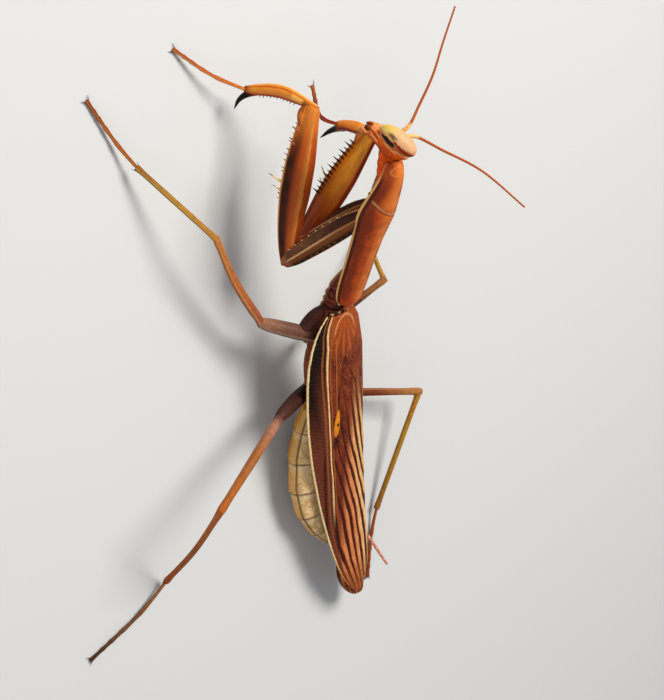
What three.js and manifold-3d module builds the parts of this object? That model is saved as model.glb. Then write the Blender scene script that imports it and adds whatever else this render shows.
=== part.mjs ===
// A praying mantis (Mantis religiosa, female) as a still, life-size model.
//
// She stands on the floor, z = 0, head towards -Y and her left side towards +X,
// with the prothorax raised, the left arm reaching down to the floor and the right
// arm lifted under the mouth. Units are millimetres.
//
// Every part of the body is one closed solid. Parts that meet at a joint are
// parted by a thin plane cut, and parts that sit in each other are fitted with a
// thin clearance, so that no two of them touch.

import * as THREE from 'three';
import { mergeVertices } from 'three/addons/utils/BufferGeometryUtils.js';
import Module from 'manifold-3d';

const wasm = await Module();
wasm.setup();

// ---------------------------------------------------------------- dimensions

const JOINT_GAP = 0.2; // width of the cut between two parts of a limb
const FIT_GAP = 0.18; // clearance where one part sits in or on another
const WING_THICKNESS = 0.5;
const FEELER_THICKNESS = 0.5;

// The line of the back, in the plane of symmetry.
const NECK = [[-0.5, -22.1, 21.6], [-0.5, -26.1, 23.0]]; // from the throat into the head
const PRONOTUM_FRONT = [-0.1, -24.0, 24.9];
const PRONOTUM_REAR = [-0.1, -5.4, 13.9];
const PRONOTUM_AXIS_DEPTH = 1.35; // its widest line lies this far below its ridge
// Where it bows off its straight line: part of its length, and how far.
const PRONOTUM_BOWS = [[0.62, [0.05, -0.01, -0.06]], [0.88, [-0.16, 0.04, 0.2]]];
const SHIELD_UP = [0.31, 0, 0.95]; // the shield is turned a little to its left
const THORAX_FRONT = [-0.1, -7.4, 11.4];
const THORAX_REAR = [0, 8.0, 6.35];
const ABDOMEN_TIP = [-2.6, 30.6, 3.4];

// The head is turned to its right and tilted.
const HEAD_CENTRE = [-0.3, -26.8, 22.9];
const HEAD_UP = [-0.33, 0.72, 0.61]; // from the mouth to the crown
const HEAD_FRONT = [-0.72, -0.61, 0.33]; // the way the face looks
const CROWN_HEIGHT = 2.5;
const CHIN_DEPTH = 3.1;
const EYE_PLACE = [2.75, 0.6, 0.74]; // across, out to the front and up, from the head's centre
const EYE_RADII = [1.25, 1.2, 2.42];

// The legs. joints runs from the body outwards: the base of the coxa, the trochanter,
// the knee, the ankle and the tip of the foot. backs is where the back of a segment
// faces, and bends is where it bows: [part of its length, how far off its straight line].
const FORE_LEFT = {
  joints: [[0.9, -18.4, 19.1], [5.5, -13.2, 10.0], [-1.1, -29.7, 11.4], [1.6, -32.3, 4.1], [8.2, -38.9, 0.3]],
  backs: { coxa: [0.2, -0.8, 0.5], femur: [-0.7, 0.18, 0.69], tibia: [-0.33, -0.92, -0.11] },
  bends: {
    femur: [[0.2, [0.24, -0.05, -0.28]], [0.5, [0.25, -0.05, -0.3]]],
    tibia: [[0.2, [-0.22, -0.55, -0.08]], [0.5, [-0.31, -0.88, -0.1]]],
    tarsus: [[0.45, [0.2, 0.35, -0.2]]],
  },
};
const FORE_RIGHT = {
  joints: [[-1.7, -18.8, 19.1], [1.2, -13.5, 8.2], [-3.2, -26.4, 18], [-5.7, -26.3, 10.8], [-2.1, -32.1, 11.1]],
  backs: { coxa: [-0.2, -0.8, 0.5], femur: [0.1, 0.5, 0.85], tibia: [-0.75, -0.47, 0.45] },
  bends: { tibia: [[0.5, [-0.1, -0.25, 0]]], tarsus: [[0.45, [0.9, 0.85, -0.35]]] },
};
const MID_LEFT = {
  joints: [[2.4, -2.1, 9.1], [8.0, -5.7, 6.3], [13.6, -18.6, 7.6], [18.2, -28.2, 2.0], [21.9, -37.1, 0.3]],
  bends: { femur: [[0.5, [0.35, 0.15, -0.3]]], tarsus: [[0.35, [0, 0, -0.45]]] },
};
const MID_RIGHT = {
  joints: [[-2.4, -2.6, 9.0], [-2.6, 1.4, 2.5], [-10.6, -4.4, 9.5], [-17.0, -7.5, 1.2], [-23.0, -13.8, 0.3]],
  bends: { tarsus: [[0.35, [0, 0, -0.3]]] },
};
const HIND_LEFT = {
  joints: [[2.6, 5.4, 6.2], [9.2, 5.8, 7.8], [26.5, 8.6, 14.0], [26.3, 21.2, 1.3], [38.9, 25.4, 0.3]],
  bends: { tibia: [[0.5, [-0.1, 0.3, 0.25]]], tarsus: [[0.4, [-0.5, 0.6, -0.2]]] },
};
const HIND_RIGHT = {
  joints: [[-2.8, 5.4, 6.6], [-2.2, 8.9, 1.7], [-18.7, 15.5, 5.0], [-11.0, 30.2, 1.2], [-7.9, 39.7, 0.3]],
  bends: { tarsus: [[0.35, [0, 0, -0.3]]] },
};
const MID_THICKNESS = 0.9;
const HIND_THICKNESS = 1.0;
const FOOT_THICKNESS = 0.6;

// The feelers, from the brow to the tip.
const FEELER_LEFT = [
  [-2.1, -27.5, 23.7], [-2.7, -28.1, 24.4], [-4.2, -29.9, 24.9],
  [-6.1, -32.9, 25.9], [-8.0, -36.1, 26.4], [-10.1, -39.7, 27.1],
];
const FEELER_RIGHT = [
  [-3.2, -26.6, 23.3], [-4.0, -26.4, 23.8], [-5.9, -24.3, 26.0],
  [-8.2, -21.4, 29.3], [-10.4, -16.6, 33.1],
];

// The two short feelers at the end of the abdomen, from root to tip.
const CERCUS_LEFT = [[-1.8, 29.2, 3.3], [-1.5, 31.6, 3.0], [-0.9, 34.6, 3.2]];
const CERCUS_RIGHT = [[-3.3, 29.2, 3.4], [-5.5, 30.7, 3.6], [-6.6, 35.5, 5.8]];

const SOLE_HEIGHT = 0.08; // the feet end in small flats here, and stand on them

const UP = new THREE.Vector3(0, 0, 1);
const LEFT = 1;
const RIGHT = -1;

const COLOURS = {
  thorax: 0x8a3f1c,
  head: 0xb4581f,
  eye: 0xe0bf77,
  feeler: 0x6b3a26,
  mouth: 0x5a1d10,
  abdomen: 0xa89a6a,
  tegmen: 0x6e3116,
  hindwing: 0x7a5a3a,
  foreleg: 0x9a4d1c,
  leg: 0x7c4a22,
};

// ------------------------------------------------------------------- helpers

const vec = (p) => new THREE.Vector3(...p);

// A smooth profile through stops [t, value].
function profile(...stops) {
  return (t) => {
    const next = stops.findIndex(([at]) => at >= t);
    if (next === 0) return stops[0][1];
    if (next < 0) return stops[stops.length - 1][1];
    const [[t0, a], [t1, b]] = [stops[next - 1], stops[next]];
    return THREE.MathUtils.lerp(a, b, (t - t0) / (t1 - t0));
  };
}

// A closed geometry becomes a solid that can be cut and joined.
function solid(geometry) {
  const bare = geometry.clone();
  bare.deleteAttribute('normal');
  bare.deleteAttribute('uv');
  const merged = mergeVertices(bare, 1e-5);
  return new wasm.Manifold(
    new wasm.Mesh({
      numProp: 3,
      vertProperties: new Float32Array(merged.attributes.position.array),
      triVerts: new Uint32Array(merged.index.array),
    }),
  );
}

// A limb is an oval rod along a path. wide and high are its diameters at t from 0
// to 1, and high is measured towards up.
class Limb {
  constructor({ path, wide, high = wide, up = UP, sides = 8, rings = 8, ease = 0.6 }) {
    const points = path.map((p) => (p.isVector3 ? p : vec(p)));
    this.curve =
      points.length === 2
        ? new THREE.LineCurve3(points[0], points[1])
        : new THREE.CatmullRomCurve3(points, false, 'centripetal');
    Object.assign(this, { wide, high, up, sides, rings, ease });
  }

  // The centre and the axes of the section at t.
  frame(t) {
    const along = this.curve.getTangentAt(t).normalize();
    const side = this.up.clone().cross(along).normalize();
    const lift = along.clone().cross(side);
    return { centre: this.curve.getPointAt(t), along, side, lift };
  }

  // A point of the section at t: x across and y towards up, 1 being the surface.
  at(t, x, y) {
    const { centre, side, lift } = this.frame(t);
    return centre.addScaledVector(side, (x * this.wide(t)) / 2).addScaledVector(lift, (y * this.high(t)) / 2);
  }

  geometry(grow = 0) {
    const rod = new THREE.CylinderGeometry(1, 1, 1, this.sides, this.rings);
    const position = rod.attributes.position;
    for (let i = 0; i < position.count; i++) {
      const s = 0.5 - position.getY(i);
      const t = THREE.MathUtils.lerp(s, (1 - Math.cos(Math.PI * s)) / 2, this.ease);
      const { centre, along, side, lift } = this.frame(t);
      const end = s < 1e-6 ? -grow : s > 1 - 1e-6 ? grow : 0;
      centre.addScaledVector(along, end);
      centre.addScaledVector(side, position.getX(i) * (this.wide(t) / 2 + grow));
      centre.addScaledVector(lift, position.getZ(i) * (this.high(t) / 2 + grow));
      position.setXYZ(i, centre.x, centre.y, centre.z);
    }
    return rod;
  }

  solid(grow = 0) {
    return solid(this.geometry(grow));
  }
}

// An ellipsoid with its own axes; radii are along side, front and up.
function ellipsoid(centre, radii, front, up, grow = 0, facets = [12, 8]) {
  const ball = new THREE.SphereGeometry(1, ...facets);
  const side = new THREE.Vector3().crossVectors(up, front).normalize();
  const [a, b, c] = radii.map((r) => r + grow);
  ball.applyMatrix4(new THREE.Matrix4().makeRotationX(Math.PI / 2));
  const axes = new THREE.Matrix4().makeBasis(
    side.clone().multiplyScalar(a),
    front.clone().multiplyScalar(-b),
    up.clone().multiplyScalar(c),
  );
  ball.applyMatrix4(axes);
  ball.translate(centre.x, centre.y, centre.z);
  return solid(ball);
}

// A slim cone, its foot sunk a little into what it grows from.
function thorn(foot, direction, length, radius, sides = 4) {
  const sunk = length * 0.25;
  const cone = new THREE.ConeGeometry(radius, length + sunk, sides, 1);
  cone.translate(0, (length + sunk) / 2 - sunk, 0);
  cone.applyQuaternion(new THREE.Quaternion().setFromUnitVectors(new THREE.Vector3(0, 1, 0), direction));
  cone.translate(foot.x, foot.y, foot.z);
  return solid(cone);
}

// Keeps the side of a plane that its normal points to, clear of it by a half gap.
function trim(body, point, normal, gap = JOINT_GAP) {
  return body.trimByPlane(normal.toArray(), normal.dot(point) + gap / 2);
}

const model = new THREE.Group();

// Adds one named part, made from a solid.
function part(name, body, colour, roughness = 0.5) {
  const mesh = body.getMesh();
  const geometry = new THREE.BufferGeometry();
  const points = new Float32Array(mesh.numVert * 3);
  for (let i = 0; i < mesh.numVert; i++) {
    for (let axis = 0; axis < 3; axis++) {
      points[3 * i + axis] = mesh.vertProperties[i * mesh.numProp + axis];
    }
  }
  geometry.setAttribute('position', new THREE.BufferAttribute(points, 3));
  geometry.setIndex(new THREE.BufferAttribute(new Uint32Array(mesh.triVerts), 1));
  geometry.computeVertexNormals();
  const material = new THREE.MeshStandardMaterial({ color: colour, roughness, metalness: 0 });
  const node = new THREE.Mesh(geometry, material);
  node.name = name;
  model.add(node);
  return body;
}

// ---------------------------------------------------------------- prothorax

// The long shield behind the head: a low roof, widest at the groove above the
// fore coxae, rounded at both ends.
function prothorax() {
  const rear = vec(PRONOTUM_REAR);
  const front = vec(PRONOTUM_FRONT);
  const along = front.clone().sub(rear).normalize();
  const lift = along.clone().cross(new THREE.Vector3(1, 0, 0));
  const bows = PRONOTUM_BOWS.map(([t, offset]) => rear.clone().lerp(front, t).add(vec(offset)));
  return new Limb({
    path: [rear, ...bows, front].map((p) => p.addScaledVector(lift, -PRONOTUM_AXIS_DEPTH)),
    wide: profile([0, 2.0], [0.03, 3.2], [0.12, 3.9], [0.35, 4.0], [0.52, 4.3], [0.65, 5.1], [0.76, 4.2],
      [0.88, 3.3], [0.96, 2.8], [1, 1.9]),
    high: profile([0, 1.6], [0.05, 2.3], [0.35, 2.5], [0.68, 3.1], [0.85, 2.8], [0.96, 2.4], [1, 1.6]),
    up: vec(SHIELD_UP),
    sides: 12,
    rings: 16,
  });
}

// -------------------------------------------------------------------- thorax

// The trunk that carries the wings and the walking legs. It starts below the rear
// end of the shield and drops under the wing bases.
function thorax() {
  return new Limb({
    path: [THORAX_FRONT, [0, -4.4, 9.9], [0, -1.4, 8.4], THORAX_REAR],
    wide: profile([0, 2.2], [0.1, 2.8], [0.22, 3.4], [0.4, 4.6], [0.6, 6.0], [0.9, 6.6], [1, 5.8]),
    high: profile([0, 1.6], [0.1, 2.4], [0.22, 3.0], [0.4, 3.4], [0.6, 4.0], [0.9, 4.3], [1, 4.0]),
    sides: 12,
    rings: 10,
  });
}

// ------------------------------------------------------------------- abdomen

// Broad and heavy with eggs: it bulges out below the wings on both sides.
function abdomen() {
  return new Limb({
    path: [[0, 8.3, 5.9], [0, 12.5, 4.7], [0, 17.5, 3.8], [-0.4, 23, 3.3], ABDOMEN_TIP],
    wide: profile([0, 6.4], [0.08, 8.4], [0.25, 10.9], [0.45, 12.1], [0.62, 11.3], [0.8, 8.2], [0.93, 4.6],
      [1, 2.2]),
    high: profile([0, 4.0], [0.08, 4.8], [0.22, 5.5], [0.45, 5.4], [0.65, 4.5], [0.85, 2.7], [1, 1.0]),
    sides: 14,
    rings: 16,
    ease: 0.2,
  });
}

// A cercus: a short beaded feeler beside the tip of the abdomen.
function cercus(side) {
  const beads = 6;
  return new Limb({
    path: side === LEFT ? CERCUS_LEFT : CERCUS_RIGHT,
    wide: (t) => THREE.MathUtils.lerp(0.75, 0.5, t) + 0.08 * Math.cos(2 * Math.PI * beads * t),
    sides: 6,
    rings: beads * 2,
    ease: 0,
  });
}

// --------------------------------------------------------------------- wings

const WING_BASE = -5.0;
const LEFT_WING_TIP = 36.8;
const RIGHT_WING_TIP = 37.9;
const HINDWING_BASE = -1.5;
const HINDWING_TIP = 35.0;
const WING_CREST = 13.0; // height of the folded wings over their base
const WING_SLOPE = 0.19; // how fast they come down towards the tip
const WING_LAYER = WING_THICKNESS + FIT_GAP;
const OVERLAP = 3.4; // how far the left wing lies over the right one

const wingPart = (y) => THREE.MathUtils.clamp((y - WING_BASE) / (LEFT_WING_TIP - WING_BASE), 0, 1);

// Half the width of the folded wings, out to the leading edge.
const halfWidth = profile([0, 2.6], [0.085, 4.3], [0.22, 5.05], [0.37, 5.05], [0.56, 4.45], [0.66, 4.1],
  [0.76, 3.7], [0.86, 3.2], [0.93, 2.6], [0.98, 1.7], [1, 0.9]);

// Their middle line swings a little to the right towards the tip.
const wingMiddle = (y) => -1.7 * Math.max(0, (y - 15) / 21) ** 1.3;

// Height of the outer face of the folded wings, at x beside their middle line. The
// broad field is a low arch, and the leading field turns down along the body.
function wingTop(x, y) {
  const t = wingPart(y);
  const fold = Math.max(1.2, 0.68 * halfWidth(t));
  const out = Math.abs(x);
  const arch = 0.055 * Math.min(out, fold) ** 2;
  const steepness = 1.25 - 0.75 * THREE.MathUtils.smoothstep(t, 0.6, 1);
  const turned = steepness * Math.max(0, out - fold);
  return WING_CREST - WING_SLOPE * (y - WING_BASE) - arch - turned;
}

// A wing is a bent sheet between an outer and an inner edge, given at t along it.
function wing({ side, base, tip, outer, inner, sink, columns, rows }) {
  const sheet = new THREE.BoxGeometry(1, 1, 1, columns, rows, 1);
  const position = sheet.attributes.position;
  for (let i = 0; i < position.count; i++) {
    const t = position.getY(i) + 0.5;
    const y = THREE.MathUtils.lerp(base, tip, t);
    const across = side === LEFT ? position.getX(i) + 0.5 : 0.5 - position.getX(i);
    const out = THREE.MathUtils.lerp(inner(t), outer(t), across);
    const top = wingTop(side * out, y) - sink(out);
    position.setXYZ(i, side * out + wingMiddle(y), y, top + (position.getZ(i) - 0.5) * WING_THICKNESS);
  }
  return solid(sheet);
}

// Rounds off the tip of a wing: 1 along it, falling to 0 at the end.
const rounded = (t) => Math.sqrt(Math.max(0, 1 - Math.max(0, (t - 0.88) / 0.12) ** 2));

// The left forewing lies over the right one, with its hind edge on the right side.
const tegmenLeft = () =>
  wing({
    side: LEFT,
    base: WING_BASE,
    tip: LEFT_WING_TIP,
    outer: halfWidth,
    inner: (t) => 0.2 - Math.min(OVERLAP, halfWidth(t)) * rounded(t) * Math.min(1, 0.6 + t * 3),
    sink: () => 0,
    columns: 7,
    rows: 15,
  });

// The right forewing rises beside the left one and passes below it.
const tegmenRight = () =>
  wing({
    side: RIGHT,
    base: WING_BASE,
    tip: RIGHT_WING_TIP,
    outer: (t) => halfWidth(t * 0.985) + 0.2 * t,
    inner: () => 0.5,
    sink: (out) => WING_LAYER * (1 - THREE.MathUtils.smoothstep(out, OVERLAP + 0.25, OVERLAP + 1.1)) + 0.01,
    columns: 6,
    rows: 14,
  });

// The hindwings are folded flat below the forewings.
const hindwing = (side) =>
  wing({
    side,
    base: HINDWING_BASE,
    tip: HINDWING_TIP,
    outer: (t) => Math.max(0.6, halfWidth(t) - 2.3),
    inner: () => FIT_GAP / 2,
    sink: () => 2 * WING_LAYER + 0.02,
    columns: 2,
    rows: 9,
  });

// ---------------------------------------------------------------------- legs

// One leg as four solids parted at its joints: coxa, femur with the trochanter,
// tibia and tarsus. A shape gives the section, how far the rod runs past its two
// joints before it is trimmed, and what grows from it. body is what the coxa sits on.
function leg(name, { joints, backs = {}, bends = {} }, shapes, colour, body) {
  const points = joints.map(vec);
  const ways = points.slice(1).map((p, i) => p.clone().sub(points[i]).normalize());
  ['coxa', 'femur', 'tibia', 'tarsus'].forEach((kind, i) => {
    const shape = shapes[kind];
    const start = points[i].clone().addScaledVector(ways[i], -shape.past[0]);
    const end = points[i + 1].clone().addScaledVector(ways[i], shape.past[1]);
    const bows = (bends[kind] ?? []).map(([t, offset]) => start.clone().lerp(end, t).add(vec(offset)));
    const up = backs[kind] ? vec(backs[kind]) : UP;
    const limb = new Limb({ ...shape, up, path: [start, ...bows, end] });
    let solidPart = limb.solid();
    const across = (joint) => ways[joint - 1].clone().add(ways[joint]).normalize();
    if (i > 0) solidPart = trim(solidPart, points[i], across(i));
    if (i < 3) solidPart = trim(solidPart, points[i + 1], across(i + 1).negate());
    for (const extra of shape.extras?.(limb) ?? []) solidPart = solidPart.add(extra);
    if (i === 0) solidPart = solidPart.subtract(body);
    if (kind === 'tarsus') solidPart = solidPart.trimByPlane([0, 0, 1], SOLE_HEIGHT);
    part(`${name}_${kind}`, solidPart, colour);
  });
}

// A foot of five short links, the last with two claws.
const TARSUS_LINKS = [0, 0.42, 0.62, 0.76, 0.86, 1];
function tarsusShape() {
  const link = (t) => TARSUS_LINKS.findIndex((end) => end >= t);
  return {
    past: [0.1, 0],
    sides: 5,
    rings: 12,
    ease: 0,
    wide: (t) => {
      const k = Math.max(1, link(t));
      const along = (t - TARSUS_LINKS[k - 1]) / (TARSUS_LINKS[k] - TARSUS_LINKS[k - 1]);
      return FOOT_THICKNESS * (0.84 + 0.3 * along ** 3);
    },
    extras: (limb) => {
      const { along, side } = limb.frame(1);
      return [LEFT, RIGHT].map((way) => {
        const claw = along.clone().addScaledVector(side, way * 0.75);
        claw.z = Math.min(claw.z, 0);
        return thorn(limb.at(0.97, way * 0.4, 0), claw.normalize(), 0.9, 0.2);
      });
    },
  };
}

// The walking legs are slim rods with a thicker coxa and swollen knees.
function walkingLeg(name, lines, thick, body) {
  const swelling = (t) => 0.22 * Math.exp(-(((t - 0.95) / 0.05) ** 2)); // at the knee
  const taper = profile([0, 1.0], [0.08, 1.35], [0.3, 1.2], [0.85, 0.95], [1, 0.8]);
  leg(
    name,
    lines,
    {
      coxa: {
        wide: profile([0, 1.8], [0.4, 2.0], [0.8, 1.7], [1, 1.2]),
        past: [0.4, 0.5],
        rings: 6,
      },
      femur: {
        wide: (t) => thick * (taper(t) + swelling(t)),
        past: [0.5, 0.35],
        rings: 9,
      },
      tibia: {
        wide: (t) => thick * profile([0, 0.8], [0.05, 0.95], [0.2, 0.72], [0.9, 0.7], [1, 0.85])(t),
        past: [0.3, 0.2],
        sides: 6,
        rings: 7,
      },
      tarsus: tarsusShape(),
    },
    COLOURS.leg,
    body,
  );
}

// Along the lower side of the fore femur stand an outer row of four spines, an inner
// comb of many that lean inwards, and near the base the long spines of the middle row.
function femurSpines(limb, outerSide) {
  const spines = [];
  const grow = (t, x, lean, length) => {
    const { along, side, lift } = limb.frame(t);
    const way = lift.clone().negate().addScaledVector(along, 0.6);
    way.addScaledVector(side, lean * outerSide).normalize();
    spines.push(thorn(limb.at(t, x * outerSide, -0.8), way, length, 0.19));
  };
  for (let i = 0; i < 4; i++) grow(0.585 + 0.082 * i, 0.5, 0.25, 0.95);
  for (let i = 0; i < 9; i++) grow(0.44 + 0.048 * i, -0.5, -0.8, i % 2 ? 0.7 : 1.0);
  for (let i = 0; i < 3; i++) grow(0.4 + 0.05 * i, 0.05, 0, 0.9 + 0.55 * i);
  return spines;
}

// The fore tibia has a comb below and ends in a long curved claw.
const CLAW_ROOT = 0.83;
function tibiaTeeth(limb) {
  const teeth = [];
  for (let i = 0; i < 7; i++) {
    const t = 0.3 + 0.08 * i;
    const { along, lift } = limb.frame(t);
    const way = lift.clone().negate().addScaledVector(along, 0.5).normalize();
    teeth.push(thorn(limb.at(t, 0, -0.8), way, 0.55, 0.16));
  }
  const { along, lift } = limb.frame(CLAW_ROOT);
  const root = limb.at(CLAW_ROOT, -0.6, -0.45); // beside the root of the foot
  const bow = (a, b) => root.clone().addScaledVector(along, a).addScaledVector(lift, -b);
  const claw = new Limb({
    path: [root, bow(1.3, 0.25), bow(2.3, 0.95), bow(2.85, 2.05)],
    wide: profile([0, 0.9], [0.4, 0.75], [0.8, 0.4], [1, 0.12]),
    up: lift,
    sides: 6,
    rings: 6,
    ease: 0,
  });
  return [...teeth, claw.solid()];
}

function foreLeg(name, lines, outerSide, body) {
  leg(
    name,
    lines,
    {
      coxa: {
        wide: profile([0, 2.0], [0.15, 2.4], [0.6, 2.1], [0.9, 1.7], [1, 1.2]),
        high: profile([0, 2.8], [0.15, 3.5], [0.6, 3.1], [0.9, 2.5], [1, 1.6]),
        past: [0.6, 0.8],
        sides: 10,
        rings: 8,
      },
      femur: {
        wide: profile([0, 1.0], [0.07, 1.6], [0.3, 1.9], [0.6, 1.8], [0.85, 1.4], [0.97, 1.2], [1, 0.7]),
        high: profile([0, 1.5], [0.07, 2.1], [0.25, 2.9], [0.45, 3.55], [0.65, 3.4], [0.84, 2.65],
          [0.96, 2.4], [1, 1.4]),
        past: [0.8, 0.5],
        sides: 10,
        rings: 12,
        extras: (limb) => femurSpines(limb, outerSide),
      },
      tibia: {
        wide: profile([0, 0.8], [0.1, 1.1], [0.6, 1.1], [0.9, 0.9], [1, 0.6]),
        high: profile([0, 0.9], [0.12, 1.3], [0.5, 1.65], [0.85, 1.35], [1, 0.8]),
        past: [0.7, 0.4],
        rings: 8,
        extras: tibiaTeeth,
      },
      tarsus: tarsusShape(),
    },
    COLOURS.foreleg,
    body,
  );
}

// ---------------------------------------------------------------------- head

const headUp = vec(HEAD_UP).normalize();
const headSide = new THREE.Vector3().crossVectors(headUp, vec(HEAD_FRONT)).normalize(); // its left
const headFront = new THREE.Vector3().crossVectors(headSide, headUp);

// A point of the head: across to its left, out to the front and up to the crown.
const headPoint = (across, out, up) =>
  vec(HEAD_CENTRE)
    .addScaledVector(headSide, across)
    .addScaledVector(headFront, out)
    .addScaledVector(headUp, up);

const eye = (side, grow = 0) => {
  const [across, out, up] = EYE_PLACE;
  return ellipsoid(headPoint(side * across, out, up), EYE_RADII, headFront, headUp, grow);
};

// A triangular capsule: broad between the eyes and narrow at the mouth, with the
// back of the head swelling towards the neck.
function headCapsule(grow = 0) {
  const capsule = new Limb({
    path: [headPoint(0, 0.3, CROWN_HEIGHT), headPoint(0, 0.35, -0.3), headPoint(0, 0.05, -CHIN_DEPTH)],
    wide: profile([0, 2.6], [0.07, 4.2], [0.25, 5.6], [0.42, 5.2], [0.6, 3.9], [0.78, 2.9], [0.92, 2.3],
      [1, 1.4]),
    high: profile([0, 1.2], [0.1, 2.1], [0.3, 2.8], [0.5, 2.8], [0.7, 2.3], [0.9, 1.7], [1, 1.0]),
    up: headFront,
    sides: 12,
    rings: 11,
  });
  const nape = ellipsoid(headPoint(0, -0.8, 1.1), [1.9, 0.9, 1.3], headFront, headUp, grow, [10, 6]);
  return capsule.solid(grow).add(nape);
}

// The mouth is the lower end of the capsule, parted from it by a plane cut: the
// lip in front, the jaws, and a pair of jointed palps behind them.
const MOUTH_CUT = -2.1;
const PALP = [[0.4, -0.3, -2.1], [0.9, -0.7, -2.6], [0.7, -0.5, -3.4]]; // the left one, in the head
function mouthparts() {
  const palp = (side) =>
    new Limb({
      path: PALP.map(([across, out, up]) => headPoint(side * across, out, up)),
      wide: profile([0, 0.5], [0.5, 0.55], [1, 0.4]),
      up: headFront,
      sides: 5,
      rings: 4,
    }).solid();
  const whole = headCapsule().add(palp(LEFT)).add(palp(RIGHT));
  return trim(whole, headPoint(0, 0, MOUTH_CUT), headUp.clone().negate());
}

function feeler(path) {
  return new Limb({
    path,
    wide: profile([0, 0.8], [0.06, 0.75], [0.12, FEELER_THICKNESS], [1, FEELER_THICKNESS]),
    sides: 5,
    rings: 11,
    ease: 0,
  });
}

// ------------------------------------------------------------------ assembly

const shield = prothorax();
const trunk = thorax();
const shieldSpace = shield.solid(FIT_GAP);
const headSpace = headCapsule(FIT_GAP).add(eye(LEFT, FIT_GAP)).add(eye(RIGHT, FIT_GAP));

const skull = trim(headCapsule(), headPoint(0, 0, MOUTH_CUT), headUp)
  .subtract(eye(LEFT, FIT_GAP))
  .subtract(eye(RIGHT, FIT_GAP))
  .subtract(shieldSpace);

part('head', skull, COLOURS.head);
part('mouthparts', mouthparts(), COLOURS.mouth);
part('eye_left', eye(LEFT), COLOURS.eye, 0.25);
part('eye_right', eye(RIGHT), COLOURS.eye, 0.25);
part('antenna_left', feeler(FEELER_LEFT).solid().subtract(headSpace), COLOURS.feeler);
part('antenna_right', feeler(FEELER_RIGHT).solid().subtract(headSpace), COLOURS.feeler);

const neck = new Limb({
  path: NECK,
  wide: profile([0, 2.2], [0.5, 2.5], [1, 2.4]),
  high: profile([0, 1.9], [0.5, 2.2], [1, 2.2]),
  rings: 4,
});
part('neck', neck.solid().subtract(headSpace).subtract(shieldSpace), COLOURS.head);

part('prothorax', shield.solid(), COLOURS.thorax);
part('thorax', trunk.solid().subtract(shieldSpace), COLOURS.thorax);

const abdomenSpace = abdomen().solid(FIT_GAP);
part('abdomen', abdomen().solid(), COLOURS.abdomen, 0.6);
part('cercus_left', cercus(LEFT).solid().subtract(abdomenSpace), COLOURS.abdomen);
part('cercus_right', cercus(RIGHT).solid().subtract(abdomenSpace), COLOURS.abdomen);

part('tegmen_left', tegmenLeft(), COLOURS.tegmen);
part('tegmen_right', tegmenRight(), COLOURS.tegmen);
part('hindwing_left', hindwing(LEFT), COLOURS.hindwing);
part('hindwing_right', hindwing(RIGHT), COLOURS.hindwing);

foreLeg('foreleg_left', FORE_LEFT, LEFT, shieldSpace);
foreLeg('foreleg_right', FORE_RIGHT, RIGHT, shieldSpace);

const trunkSpace = trunk.solid(FIT_GAP).add(abdomenSpace);
walkingLeg('midleg_left', MID_LEFT, MID_THICKNESS, trunkSpace);
walkingLeg('midleg_right', MID_RIGHT, MID_THICKNESS, trunkSpace);
walkingLeg('hindleg_left', HIND_LEFT, HIND_THICKNESS, trunkSpace);
walkingLeg('hindleg_right', HIND_RIGHT, HIND_THICKNESS, trunkSpace);

// The origin is below the middle of the whole animal, on the floor.
const box = new THREE.Box3().setFromObject(model);
const middle = box.getCenter(new THREE.Vector3());
model.position.set(-middle.x, -middle.y, -box.min.z);
const mantis = new THREE.Group();
mantis.add(model);

export default mantis;
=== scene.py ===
import math

import bpy
import numpy as np
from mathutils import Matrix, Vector


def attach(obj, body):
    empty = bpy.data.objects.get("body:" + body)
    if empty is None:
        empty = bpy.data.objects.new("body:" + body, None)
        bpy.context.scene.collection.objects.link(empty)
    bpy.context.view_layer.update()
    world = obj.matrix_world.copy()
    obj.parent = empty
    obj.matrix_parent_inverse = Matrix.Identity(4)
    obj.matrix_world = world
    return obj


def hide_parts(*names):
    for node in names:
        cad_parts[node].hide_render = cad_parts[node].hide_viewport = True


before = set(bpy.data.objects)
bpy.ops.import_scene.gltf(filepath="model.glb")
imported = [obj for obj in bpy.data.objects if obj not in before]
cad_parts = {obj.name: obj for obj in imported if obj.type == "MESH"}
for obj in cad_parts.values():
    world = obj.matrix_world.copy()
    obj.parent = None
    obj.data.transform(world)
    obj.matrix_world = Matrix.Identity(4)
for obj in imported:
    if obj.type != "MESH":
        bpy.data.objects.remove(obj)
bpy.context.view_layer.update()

# ---------------------------------------------------------------- floor, light and camera
# A plain pale floor that the animal stands on, a soft lamp ahead of it and above, a larger and
# weaker one on its left, and a pale room round them.
MM = 0.001

bpy.ops.mesh.primitive_plane_add(size=3, location=(0, 0, 0))
floor = bpy.context.object
floor.name = "floor"
paper = bpy.data.materials.new("paper")
paper.use_nodes = True
matt = paper.node_tree.nodes["Principled BSDF"]
matt.inputs["Base Color"].default_value = (0.54, 0.555, 0.57, 1)
matt.inputs["Roughness"].default_value = 0.9
floor.data.materials.append(paper)


def soft_lamp(name, place, size, power, colour):
    """A square lamp that faces the animal."""
    bpy.ops.object.light_add(type="AREA", location=place)
    lamp = bpy.context.object
    lamp.name = name
    lamp.data.size = size
    lamp.data.energy = power
    lamp.data.color = colour
    lamp.rotation_euler = Vector(place).to_track_quat("Z", "Y").to_euler()


soft_lamp("key_lamp", (-0.10, -0.20, 0.34), 0.16, 2.05, (1.0, 0.95, 0.87))
soft_lamp("fill_lamp", (0.36, 0.02, 0.22), 0.30, 0.42, (1.0, 0.99, 0.97))

room = bpy.data.worlds.new("room")
room.use_nodes = True
glow = room.node_tree.nodes["Background"]
glow.inputs["Color"].default_value = (0.95, 0.95, 0.95, 1)
glow.inputs["Strength"].default_value = 0.34
bpy.context.scene.world = room
bpy.context.scene.view_settings.view_transform = "Standard"

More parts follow.
